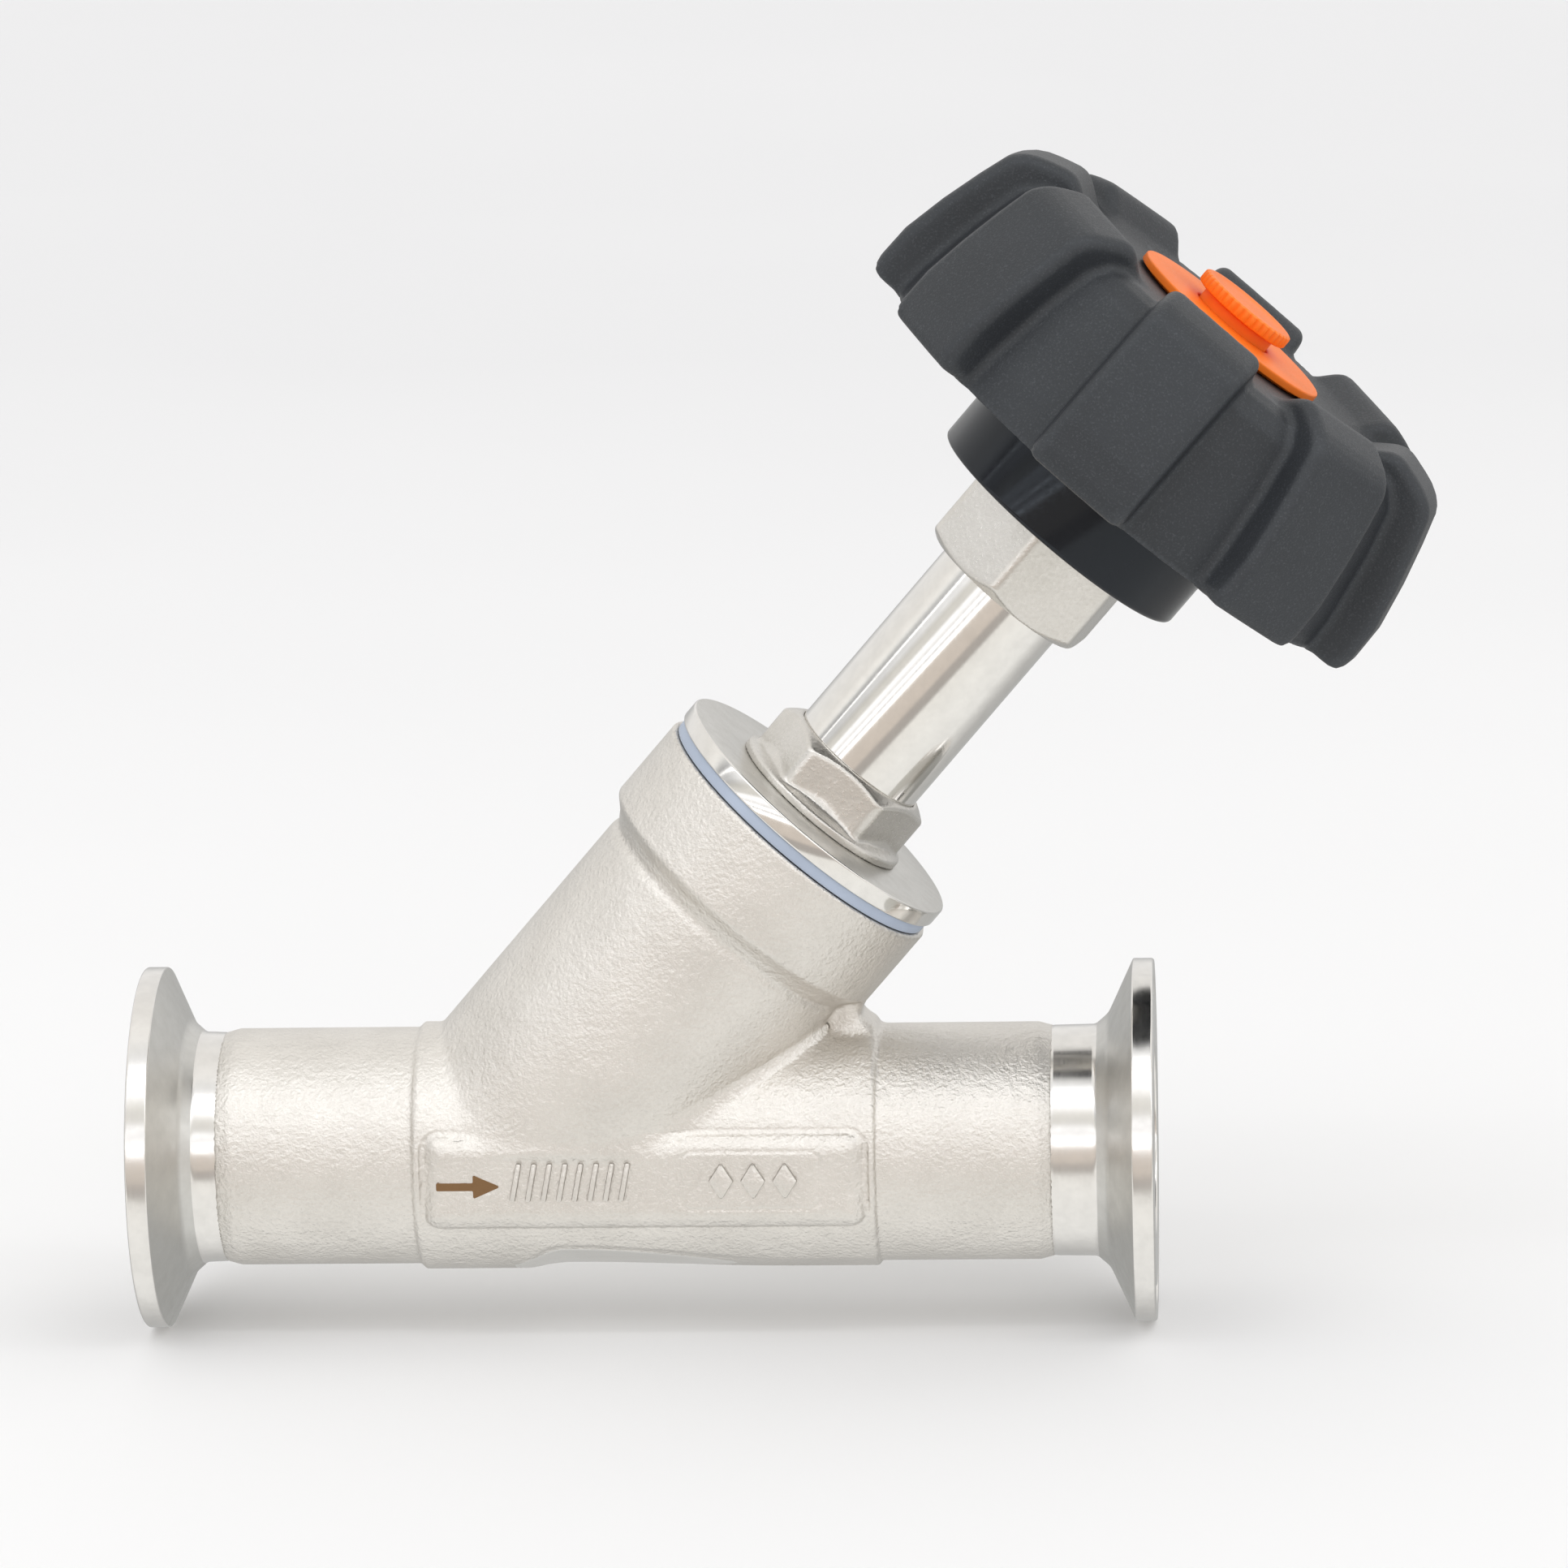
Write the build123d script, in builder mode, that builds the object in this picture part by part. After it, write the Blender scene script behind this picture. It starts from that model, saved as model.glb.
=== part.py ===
from build123d import *

import os
from math import cos, radians, sin

# Manual angle seat valve with clamp ferrule ends, in millimetres. The origin is the centre of the
# inlet face. The pipe runs along X, with flow towards +X. The bonnet axis lies in the XZ plane and
# leans towards the outlet from where it crosses the pipe axis.

# Pipe and clamp ends
BORE_R = 13.5
PIPE_R = 16.55
CENTRE_R = 17.3
CENTRE_LOW_X, CENTRE_HIGH_X = 38.6, 102.9
FERRULE_R = 25.25
FERRULE_RIM = 2.9
FERRULE_ROUND = 0.35
FERRULE_CONE = 3.5
FERRULE_ROOT_R = 17.7
FERRULE_ROOT = 1.7
FERRULE_TUBE_R = 16.0
CLAMP_GROOVE_R = 21.8
CLAMP_GROOVE_WIRE = 1.45
INLET_X, INLET_WELD_X = 0.0, 11.2
OUTLET_X, OUTLET_WELD_X = 141.2, 127.1
TAPER = 2.0

# Bonnet end of the casting; heights are measured along the bonnet axis from the pipe axis
CROSSING_X = 53.6
BONNET_ANGLE = 49.0
NECK_R = 20.3
NECK_FOOT_Y, NECK_FOOT_Z, NECK_FLARE_Z = 17.8, 3.0, 14.0
COLLAR_R = 22.65
COLLAR_LOW, COLLAR_TOP = 45.0, 59.4
COLLAR_CHAMFER = 2.35
COLLAR_ROUND = 0.8
SEAT_R = 11.5
SEAT_LIP_R, SEAT_LIP = 12.9, 0.8
WEB = 4.0
CHAMBER_R = 15.0
SPIGOT_R, SPIGOT_LOW = 16.6, 49.5
PAD_Y, PAD_EDGE, PAD_CORNER = 18.0, 1.6, 3.0
PAD_LOW_X, PAD_HIGH_X = 40.2, 101.5
PAD_LOW_Z, PAD_HIGH_Z = -8.0, 5.65
LUG_SIDE = [(95.5, 14.5), (97.6, 22.0), (101.2, 20.4), (100.5, 19.1), (102.5, 17.2), (103.0, 14.5)]
LUG_HALF = 5.0
FLAT_TURN, FLAT_DEPTH, FLAT_X, FLAT_LENGTH = 66.8, 16.1, 64.5, 24.0

# Bonnet cover, lock nut and neck tube
GASKET_R, GASKET_TOP = 21.9, 61.05
COVER_R, COVER_TOP, COVER_CHAMFER = 22.35, 63.65, 0.3
LOCKNUT_FLAT, LOCKNUT_FLANGE_R, LOCKNUT_TOP = 22.0, 13.5, 72.2
LOCKNUT_TURN = -3.7
LOCKNUT_CROWN, LOCKNUT_CROWN_RISE = 3.2, 1.8
LOCKNUT_EDGE, LOCKNUT_FLANGE, LOCKNUT_FLARE = 0.3, 0.9, 2.5
TUBE_R, TUBE_BORE_R = 9.84, 7.9
TUBE_LOW, TUBE_HIGH = 50.5, 113.8
FIT = 0.06

# Stem, closure and packing
STEM_R, STEM_FLAT = 5.0, 8.6
STEM_KEY_LOW, STEM_KEY_HIGH = 80.0, 104.0
STEM_SHOULDER, STEM_TOP = 12.0, 150.2
STEM_END_R, STEM_END_LOW, STEM_BEVEL = 4.0, -6.2, 0.5
STEM_TIP_R, STEM_TIP_TOP = 3.0, 153.0
PLUG_R, PLUG_LOW, PLUG_EDGE, PLUG_NECK_R = 13.0, 3.9, 7.5, 7.5
SEAL_LOW, SEAL_R = 0.9, 12.9
SEAL_WASHER_R, SEAL_WASHER_LOW = 10.8, -0.6
PLUG_NUT_FLAT, PLUG_NUT_LOW = 11.0, -5.4
BUSH_TOP = 56.0
RING_LOW, RING_PITCH, RING_THICK, RING_COUNT = 56.3, 2.05, 2.0, 4
RING_VEE = 1.2
SPRING_SEAT_LOW, SPRING_SEAT_TOP = 65.8, 67.3
SPRING_LOW, SPRING_HIGH, SPRING_PITCH = 68.1, 91.2, 3.3
SPRING_MEAN_R, SPRING_WIRE_R = 6.55, 0.65
KEY_BUSH_LOW, KEY_BUSH_TOP = 92.0, 102.0

# Drive housing and its bearing
UNION_FLAT, UNION_LOW, UNION_TOP = 24.6, 103.2, 116.4
UNION_TURN = -10.7
UNION_FACE_R, UNION_CORNER_R, UNION_BEVEL = 12.1, 14.5, 1.8
UNION_SPIGOT_R, UNION_SPIGOT_TOP = 11.5, 119.4
HOUSING_R, HOUSING_LOW, HOUSING_TOP = 20.05, 114.7, 133.0
HOUSING_BEVEL, HOUSING_MOUTH_R = 0.6, 14.6
HOUSING_FLOOR, HOUSING_CAVITY_R = 120.0, 16.5
THRUST_R = 15.8
PLAY = 0.2
LOWER_WASHER_TOP = 121.4
NUT_FLANGE_R, NUT_FLANGE_LOW, NUT_FLANGE_TOP = 15.3, 121.6, 125.4
NUT_SPIGOT_R, NUT_JOURNAL_R = 8.0, 9.0
UPPER_WASHER_LOW, UPPER_WASHER_TOP = 125.6, 126.9
CAP_TOP = 131.0
CLIP_IN_R, CLIP_OUT_R, CLIP_TOP = 15.4, 17.6, 132.2

# Handwheel and indicator
HUB_LOW, HUB_R, HUB_FLAT, HUB_SHELF = 133.4, 14.5, 15.0, 143.6
NUT_END_R, NUT_END_TOP = 7.0, 149.2
POCKET_R = 12.0
WHEEL_WASHER_R, WHEEL_WASHER_TOP = 11.0, 144.8
WHEEL_NUT_FLAT, WHEEL_NUT_TOP = 18.0, 148.1
WHEEL_LOW, DECK, DECK_UNDER = 125.4, 150.3, 147.2
VALLEY_LOW_R, VALLEY_HIGH_R, VALLEY_EDGE = 37.6, 33.6, 4.0
VALLEY_SHOULDER = 1.2
WALL, WALL_CORNER = 3.0, 2.0
LOBES, LOBE_TURN, LOBE_WIDTH = 8, -7.8, 15.8
LOBE_ROUND, LOBE_ROUND_FROM_R = 1.8, 36.0
# A lobe seen from its side, as (radius, height): up its outer face, over the crest, to the deck
LOBE_FOOT = [(40.6, 125.4), (42.2, 126.5)]
LOBE_FACE = [*LOBE_FOOT, (42.3, 133.2), (40.95, 139.6), (38.0, 149.6), (36.3, 151.6), (33.2, 153.0)]
LOBE_CREST = [(31.5, 153.5), (29.5, 153.8), (27.5, 153.0), (25.8, 151.8), (23.4, 150.3)]
COVER_DISC_R, COVER_DISC_TOP, COVER_HOLE_R = 15.2, 151.9, 6.2
COVER_DISC_LOW, COVER_SEAT_R = 150.75, 13.8
COVER_LIP_R, COVER_LIP_LOW, COVER_DISC_ROUND = 10.6, 148.4, 0.25
KNOB_NECK_R, KNOB_LOW, KNOB_HEAD_LOW, KNOB_TOP = 5.85, 150.3, 153.5, 155.4
KNOB_R, KNOB_TEETH, KNOB_TOOTH_R = 7.46, 40, 0.28

TILT = radians(BONNET_ANGLE)
UP = Vector(cos(TILT), 0, sin(TILT))
ACROSS = Vector(sin(TILT), 0, -cos(TILT))
CROSSING = Vector(CROSSING_X, 0, 0)
BONNET_AXIS = Axis(CROSSING, UP)
BONNET_SECTION = Plane(origin=CROSSING, x_dir=ACROSS, z_dir=(0, -1, 0))


def bonnet_at(height, turn=0.0):
    """The plane across the bonnet axis; its own x points to -Y, turned about the axis."""
    front = Vector(0, -1, 0) * cos(radians(turn)) + ACROSS * sin(radians(turn))
    return Plane(origin=CROSSING + UP * height, x_dir=front, z_dir=UP)


def height_of(point):
    return (point - CROSSING).dot(UP)


def radius_of(point):
    return (point - CROSSING - UP * height_of(point)).length


def rim_edges(piece, radius, above=-BORE_R):
    """The circles of one radius that lie higher than above along the bonnet axis."""
    circles = piece.edges().filter_by(GeomType.CIRCLE)
    alike = circles.filter_by(lambda edge: abs(edge.radius - radius) < FIT)
    return alike.filter_by(lambda edge: height_of(edge.arc_center) > above)


def turned(outline, mode=Mode.ADD):
    """Turn a closed outline of (radius, height) points about the bonnet axis."""
    with BuildSketch(BONNET_SECTION) as profile:
        with BuildLine():
            Polyline(*outline, close=True)
        make_face()
    revolve(profile.sketch, axis=BONNET_AXIS, mode=mode)


def piped(outline, mode=Mode.ADD):
    """Turn a closed outline of (x, radius) points about the pipe axis."""
    with BuildSketch(Plane.XZ) as profile:
        with BuildLine():
            Polyline(*outline, close=True)
        make_face()
    revolve(profile.sketch, axis=Axis.X, mode=mode)


def ring(inner_r, outer_r, low, high, mode=Mode.ADD):
    """A plain ring about the bonnet axis, or a disc when inner_r is 0."""
    turned([(inner_r, low), (outer_r, low), (outer_r, high), (inner_r, high)], mode)


def hexagon(across_flats, low, high, turn=0.0, mode=Mode.ADD):
    """A six-sided prism about the bonnet axis, with a flat towards its plane's own x."""
    with BuildSketch(bonnet_at(low, turn)) as profile:
        RegularPolygon(across_flats / 2, 6, major_radius=False, rotation=30)
    extrude(profile.sketch, amount=high - low, mode=mode)


def finish(piece, name):
    piece.part.label = name
    export_step(piece.part, f"parts/{name}.step")


os.makedirs("parts", exist_ok=True)

# --- Cast body -----------------------------------------------------------------------------------
# A flat plate with bevelled edges stands proud on both sides and carries the flow arrow and marks.
with BuildPart() as marking_pads:
    with BuildSketch(Plane.XZ) as pad_outline:
        with Locations(((PAD_LOW_X + PAD_HIGH_X) / 2, (PAD_LOW_Z + PAD_HIGH_Z) / 2)):
            RectangleRounded(PAD_HIGH_X - PAD_LOW_X, PAD_HIGH_Z - PAD_LOW_Z, PAD_CORNER)
    extrude(pad_outline.sketch, amount=PAD_Y, both=True)
    pad_faces = marking_pads.faces().filter_by(Axis.Y)
    chamfer(pad_faces.edges(), length=PAD_EDGE)

# The way in ends under the seat web, and the way out starts above it.
with BuildPart() as inlet_way:
    piped([(INLET_WELD_X - 1, 0), (INLET_WELD_X - 1, BORE_R), (CENTRE_HIGH_X, BORE_R), (CENTRE_HIGH_X, 0)])
    split(bisect_by=bonnet_at(-WEB), keep=Keep.BOTTOM)

with BuildPart() as outlet_way:
    piped([(CROSSING_X, 0), (CROSSING_X, BORE_R), (OUTLET_WELD_X + 1, BORE_R), (OUTLET_WELD_X + 1, 0)])
    split(bisect_by=bonnet_at(0), keep=Keep.TOP)

with BuildPart() as valve_body:
    ring(0, NECK_R, -NECK_R, COLLAR_LOW + 1)
    # The neck's flanks lean in towards the pipe below the height where they start to flare.
    flare = (NECK_R - NECK_FOOT_Y) / (NECK_FLARE_Z - NECK_FOOT_Z)
    neck_top_z = 2 * FERRULE_R
    neck_top_y = NECK_FOOT_Y + flare * (neck_top_z - NECK_FOOT_Z)
    with BuildSketch(Plane.YZ) as neck_flanks:
        with BuildLine():
            Polyline(
                (-NECK_FOOT_Y, NECK_FOOT_Z),
                (NECK_FOOT_Y, NECK_FOOT_Z),
                (neck_top_y, neck_top_z),
                (-neck_top_y, neck_top_z),
                close=True,
            )
        make_face()
    extrude(neck_flanks.sketch, amount=OUTLET_X, both=True, mode=Mode.INTERSECT)
    piped(
        [
            (INLET_WELD_X, 0),
            (INLET_WELD_X, FERRULE_TUBE_R),
            (INLET_WELD_X + TAPER, PIPE_R),
            (OUTLET_WELD_X - TAPER, PIPE_R),
            (OUTLET_WELD_X, FERRULE_TUBE_R),
            (OUTLET_WELD_X, 0),
        ]
    )
    piped(
        [
            (CENTRE_LOW_X, 0),
            (CENTRE_LOW_X, PIPE_R),
            (CENTRE_LOW_X + CENTRE_R - PIPE_R, CENTRE_R),
            (CENTRE_HIGH_X - CENTRE_R + PIPE_R, CENTRE_R),
            (CENTRE_HIGH_X, PIPE_R),
            (CENTRE_HIGH_X, 0),
        ]
    )
    turned(
        [
            (0, COLLAR_LOW),
            (NECK_R, COLLAR_LOW),
            (COLLAR_R, COLLAR_LOW + COLLAR_CHAMFER),
            (COLLAR_R, COLLAR_TOP),
            (0, COLLAR_TOP),
        ]
    )
    add(marking_pads.part)
    # A rough lug of metal fills the corner between the collar and the outlet side of the pipe.
    with BuildSketch(Plane.XZ) as lug_outline:
        with BuildLine():
            Polyline(*LUG_SIDE, close=True)
        make_face()
    extrude(lug_outline.sketch, amount=LUG_HALF, both=True)
    # Where the casting gate was ground away, low on the near side, a shallow flat is left.
    with BuildSketch(
        Plane(
            origin=(FLAT_X, -FLAT_DEPTH * cos(radians(FLAT_TURN)), -FLAT_DEPTH * sin(radians(FLAT_TURN))),
            x_dir=(1, 0, 0),
            z_dir=(0, -cos(radians(FLAT_TURN)), -sin(radians(FLAT_TURN))),
        )
    ) as gate_flat:
        Rectangle(FLAT_LENGTH, FERRULE_R)
    extrude(gate_flat.sketch, amount=CENTRE_R, mode=Mode.SUBTRACT)
    add(inlet_way.part, mode=Mode.SUBTRACT)
    add(outlet_way.part, mode=Mode.SUBTRACT)
    turned(
        [
            (0, -2 * WEB),
            (SEAT_R, -2 * WEB),
            (SEAT_R, SEAT_LIP),
            (SEAT_LIP_R, SEAT_LIP),
            (SEAT_LIP_R, 0),
            (CHAMBER_R, 0),
            (CHAMBER_R, SPIGOT_LOW),
            (SPIGOT_R, SPIGOT_LOW),
            (SPIGOT_R, COLLAR_TOP + 1),
            (0, COLLAR_TOP + 1),
        ],
        Mode.SUBTRACT,
    )
    fillet(rim_edges(valve_body, COLLAR_R), radius=COLLAR_ROUND)
finish(valve_body, "valve_body")


def ferrule(face_x, weld_x):
    """A clamp ferrule: flat face with a half-round groove, thin rim, cone back and weld tube."""
    inward = 1 if weld_x > face_x else -1
    rim_x = face_x + inward * FERRULE_RIM
    cone_x = rim_x + inward * FERRULE_CONE
    root_x = cone_x + inward * FERRULE_ROOT
    with BuildSketch(Plane.XZ) as profile:
        with BuildLine():
            Polyline(
                (root_x, FERRULE_TUBE_R),
                (weld_x, FERRULE_TUBE_R),
                (weld_x, BORE_R),
                (face_x, BORE_R),
                (face_x, CLAMP_GROOVE_R - CLAMP_GROOVE_WIRE),
            )
            ThreePointArc(
                (face_x, CLAMP_GROOVE_R - CLAMP_GROOVE_WIRE),
                (face_x + inward * CLAMP_GROOVE_WIRE, CLAMP_GROOVE_R),
                (face_x, CLAMP_GROOVE_R + CLAMP_GROOVE_WIRE),
            )
            Polyline(
                (face_x, CLAMP_GROOVE_R + CLAMP_GROOVE_WIRE),
                (face_x, FERRULE_R),
                (rim_x, FERRULE_R),
                (cone_x, FERRULE_ROOT_R),
            )
            TangentArc(
                (cone_x, FERRULE_ROOT_R),
                (root_x, FERRULE_TUBE_R),
                tangent=(inward * FERRULE_CONE, FERRULE_ROOT_R - FERRULE_R),
            )
        make_face()
    revolve(profile.sketch, axis=Axis.X)


with BuildPart() as inlet_ferrule:
    ferrule(INLET_X, INLET_WELD_X)
    fillet(rim_edges(inlet_ferrule, FERRULE_R, INLET_X - OUTLET_X), radius=FERRULE_ROUND)
finish(inlet_ferrule, "inlet_ferrule")

with BuildPart() as outlet_ferrule:
    ferrule(OUTLET_X, OUTLET_WELD_X)
    fillet(rim_edges(outlet_ferrule, FERRULE_R, INLET_X - OUTLET_X), radius=FERRULE_ROUND)
finish(outlet_ferrule, "outlet_ferrule")

# --- Bonnet --------------------------------------------------------------------------------------
with BuildPart() as cover_gasket:
    ring(SPIGOT_R + FIT, GASKET_R, COLLAR_TOP, GASKET_TOP)
finish(cover_gasket, "cover_gasket")

with BuildPart() as bonnet_cover:
    ring(TUBE_R + FIT, COVER_R, GASKET_TOP, COVER_TOP)
    ring(TUBE_R + FIT, SPIGOT_R - FIT, SPIGOT_LOW + PLAY, GASKET_TOP)
    chamfer(rim_edges(bonnet_cover, COVER_R), length=COVER_CHAMFER)
finish(bonnet_cover, "bonnet_cover")

with BuildPart() as neck_locknut:
    hexagon(LOCKNUT_FLAT, COVER_TOP, LOCKNUT_TOP, LOCKNUT_TURN)
    turned(
        [
            (0, COVER_TOP),
            (LOCKNUT_FLANGE_R, COVER_TOP),
            (LOCKNUT_FLANGE_R, LOCKNUT_TOP - LOCKNUT_CROWN_RISE),
            (LOCKNUT_FLANGE_R - LOCKNUT_CROWN, LOCKNUT_TOP),
            (0, LOCKNUT_TOP),
        ],
        Mode.INTERSECT,
    )
    turned(
        [
            (0, COVER_TOP),
            (LOCKNUT_FLANGE_R - LOCKNUT_EDGE, COVER_TOP),
            (LOCKNUT_FLANGE_R, COVER_TOP + LOCKNUT_EDGE),
            (LOCKNUT_FLANGE_R, COVER_TOP + LOCKNUT_FLANGE),
            (LOCKNUT_FLANGE_R - LOCKNUT_FLANGE, COVER_TOP + LOCKNUT_FLANGE + LOCKNUT_EDGE),
            (LOCKNUT_FLANGE_R - LOCKNUT_FLARE, COVER_TOP + LOCKNUT_FLARE),
            (0, COVER_TOP + LOCKNUT_FLARE),
        ]
    )
    ring(0, TUBE_R + FIT, COVER_TOP, LOCKNUT_TOP, Mode.SUBTRACT)
finish(neck_locknut, "neck_locknut")

with BuildPart() as neck_tube:
    ring(TUBE_BORE_R, TUBE_R, TUBE_LOW, TUBE_HIGH)
finish(neck_tube, "neck_tube")

with BuildPart() as union_nut:
    hexagon(UNION_FLAT, UNION_LOW, UNION_TOP, UNION_TURN + 30)
    turned(
        [
            (0, UNION_LOW),
            (UNION_FACE_R, UNION_LOW),
            (UNION_CORNER_R, UNION_LOW + UNION_BEVEL),
            (UNION_CORNER_R, UNION_TOP),
            (0, UNION_TOP),
        ],
        Mode.INTERSECT,
    )
    ring(0, UNION_SPIGOT_R, UNION_TOP, UNION_SPIGOT_TOP)
    ring(0, TUBE_R + FIT, UNION_LOW, TUBE_HIGH + PLAY, Mode.SUBTRACT)
    ring(0, STEM_R + 1, UNION_LOW, UNION_SPIGOT_TOP, Mode.SUBTRACT)
finish(union_nut, "union_nut")

# --- Stem guide and packing ----------------------------------------------------------------------
with BuildPart() as guide_bush:
    ring(STEM_R + FIT, TUBE_BORE_R, TUBE_LOW, BUSH_TOP)
finish(guide_bush, "guide_bush")

with BuildPart() as packing_rings:
    for number in range(RING_COUNT):
        low = RING_LOW + number * RING_PITCH
        inner, middle = STEM_R + FIT, (STEM_R + TUBE_BORE_R) / 2
        turned(
            [
                (inner, low),
                (middle, low + RING_VEE),
                (TUBE_BORE_R - FIT, low),
                (TUBE_BORE_R - FIT, low + RING_THICK),
                (middle, low + RING_VEE + RING_THICK),
                (inner, low + RING_THICK),
            ]
        )
finish(packing_rings, "packing_rings")

with BuildPart() as spring_seat:
    ring(STEM_R + 2 * FIT, TUBE_BORE_R - FIT, SPRING_SEAT_LOW, SPRING_SEAT_TOP)
finish(spring_seat, "spring_seat")

with BuildPart() as packing_spring:
    with BuildLine() as coil:
        Helix(
            SPRING_PITCH,
            SPRING_HIGH - SPRING_LOW,
            SPRING_MEAN_R,
            center=CROSSING + UP * SPRING_LOW,
            direction=UP,
        )
    with BuildSketch(Plane(origin=coil.line @ 0, z_dir=coil.line % 0)) as wire:
        Circle(SPRING_WIRE_R)
    sweep(wire.sketch, path=coil.line, is_frenet=True)
finish(packing_spring, "packing_spring")

with BuildPart() as key_bush:
    ring(0, TUBE_BORE_R, KEY_BUSH_LOW, KEY_BUSH_TOP)
    with BuildSketch(bonnet_at(KEY_BUSH_LOW)) as keyway:
        Circle(STEM_R + FIT)
        Rectangle(STEM_FLAT + 2 * FIT, 2 * TUBE_R, mode=Mode.INTERSECT)
    extrude(keyway.sketch, amount=KEY_BUSH_TOP - KEY_BUSH_LOW, mode=Mode.SUBTRACT)
finish(key_bush, "key_bush")

# --- Drive housing -------------------------------------------------------------------------------
with BuildPart() as drive_housing:
    turned(
        [
            (0, HOUSING_LOW),
            (HOUSING_R - HOUSING_BEVEL, HOUSING_LOW),
            (HOUSING_R, HOUSING_LOW + HOUSING_BEVEL),
            (HOUSING_R, HOUSING_TOP),
            (0, HOUSING_TOP),
        ]
    )
    ring(0, HOUSING_MOUTH_R, HOUSING_LOW, UNION_TOP, Mode.SUBTRACT)
    ring(0, UNION_SPIGOT_R + FIT, UNION_TOP, HOUSING_FLOOR, Mode.SUBTRACT)
    ring(0, HOUSING_CAVITY_R, HOUSING_FLOOR, HOUSING_TOP, Mode.SUBTRACT)
    ring(0, CLIP_OUT_R + FIT, CAP_TOP, CLIP_TOP, Mode.SUBTRACT)
finish(drive_housing, "drive_housing")

with BuildPart() as lower_thrust_washer:
    ring(NUT_SPIGOT_R + PLAY, THRUST_R, HOUSING_FLOOR, LOWER_WASHER_TOP)
finish(lower_thrust_washer, "lower_thrust_washer")

with BuildPart() as upper_thrust_washer:
    ring(NUT_JOURNAL_R + PLAY, THRUST_R, UPPER_WASHER_LOW, UPPER_WASHER_TOP)
finish(upper_thrust_washer, "upper_thrust_washer")

with BuildPart() as housing_cap:
    ring(NUT_JOURNAL_R + FIT, HOUSING_CAVITY_R - FIT, UPPER_WASHER_TOP, CAP_TOP)
finish(housing_cap, "housing_cap")

with BuildPart() as retaining_ring:
    ring(CLIP_IN_R, CLIP_OUT_R, CAP_TOP, CLIP_TOP)
    with BuildSketch(bonnet_at(CAP_TOP)) as clip_gap:
        with Locations((CLIP_OUT_R, 0)):
            Rectangle(CLIP_OUT_R, CLIP_IN_R / 2)
    extrude(clip_gap.sketch, amount=CLIP_TOP - CAP_TOP, mode=Mode.SUBTRACT)
finish(retaining_ring, "retaining_ring")

# --- Handwheel, turning on the drive nut ---------------------------------------------------------
with BuildPart() as drive_nut:
    turned(
        [
            (0, HOUSING_FLOOR + PLAY),
            (NUT_SPIGOT_R, HOUSING_FLOOR + PLAY),
            (NUT_SPIGOT_R, NUT_FLANGE_LOW),
            (NUT_FLANGE_R, NUT_FLANGE_LOW),
            (NUT_FLANGE_R, NUT_FLANGE_TOP),
            (NUT_JOURNAL_R, NUT_FLANGE_TOP),
            (NUT_JOURNAL_R, HUB_LOW),
            (0, HUB_LOW),
        ]
    )
    hexagon(HUB_FLAT, HUB_LOW, HUB_SHELF, LOBE_TURN)
    ring(0, NUT_END_R, HUB_SHELF, NUT_END_TOP)
    ring(0, STEM_R + FIT, HOUSING_FLOOR, NUT_END_TOP, Mode.SUBTRACT)
finish(drive_nut, "drive_nut")


def lobe(turn, outline, width, mode=Mode.ADD):
    """Extrude a lobe's side outline to its width, standing in the direction of turn."""
    outward = Vector(0, -1, 0) * cos(radians(turn)) + ACROSS * sin(radians(turn))
    side = Plane(origin=CROSSING, x_dir=outward, z_dir=outward.cross(UP))
    with BuildSketch(side) as profile:
        with BuildLine():
            Polyline(*outline, close=True)
        make_face()
    extrude(profile.sketch, amount=width / 2, both=True, mode=mode)


lobe_inner_r = LOBE_CREST[-1][0]
lobe_solid = [*LOBE_FACE, *LOBE_CREST, (lobe_inner_r, WHEEL_LOW + WALL)]
# The hollow is the same face drawn in by the wall, open at the foot and closed inwards of the crest.
lobe_hollow = [(radius - WALL, height - WALL) for radius, height in LOBE_FACE]
lobe_hollow = [*lobe_hollow, (lobe_hollow[-1][0], DECK_UNDER), (lobe_inner_r, DECK_UNDER)]
lobe_hollow = [*lobe_hollow, (lobe_inner_r, WHEEL_LOW - WALL)]

lobe_turns = [LOBE_TURN + number * 360 / LOBES for number in range(LOBES)]
with BuildPart() as lobe_blank:
    lobe(lobe_turns[0], lobe_solid, LOBE_WIDTH)
    side_edges = lobe_blank.edges().filter_by(
        lambda edge: abs((edge % 0.5).dot(Vector(0, -1, 0).cross(UP))) < 0.9
    )
    outer_edges = side_edges.filter_by(
        lambda edge: height_of(edge @ 0.5) > WHEEL_LOW + LOBE_ROUND
        and radius_of(edge @ 0.5) > LOBE_ROUND_FROM_R
    )
    fillet(outer_edges, radius=LOBE_ROUND)

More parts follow.
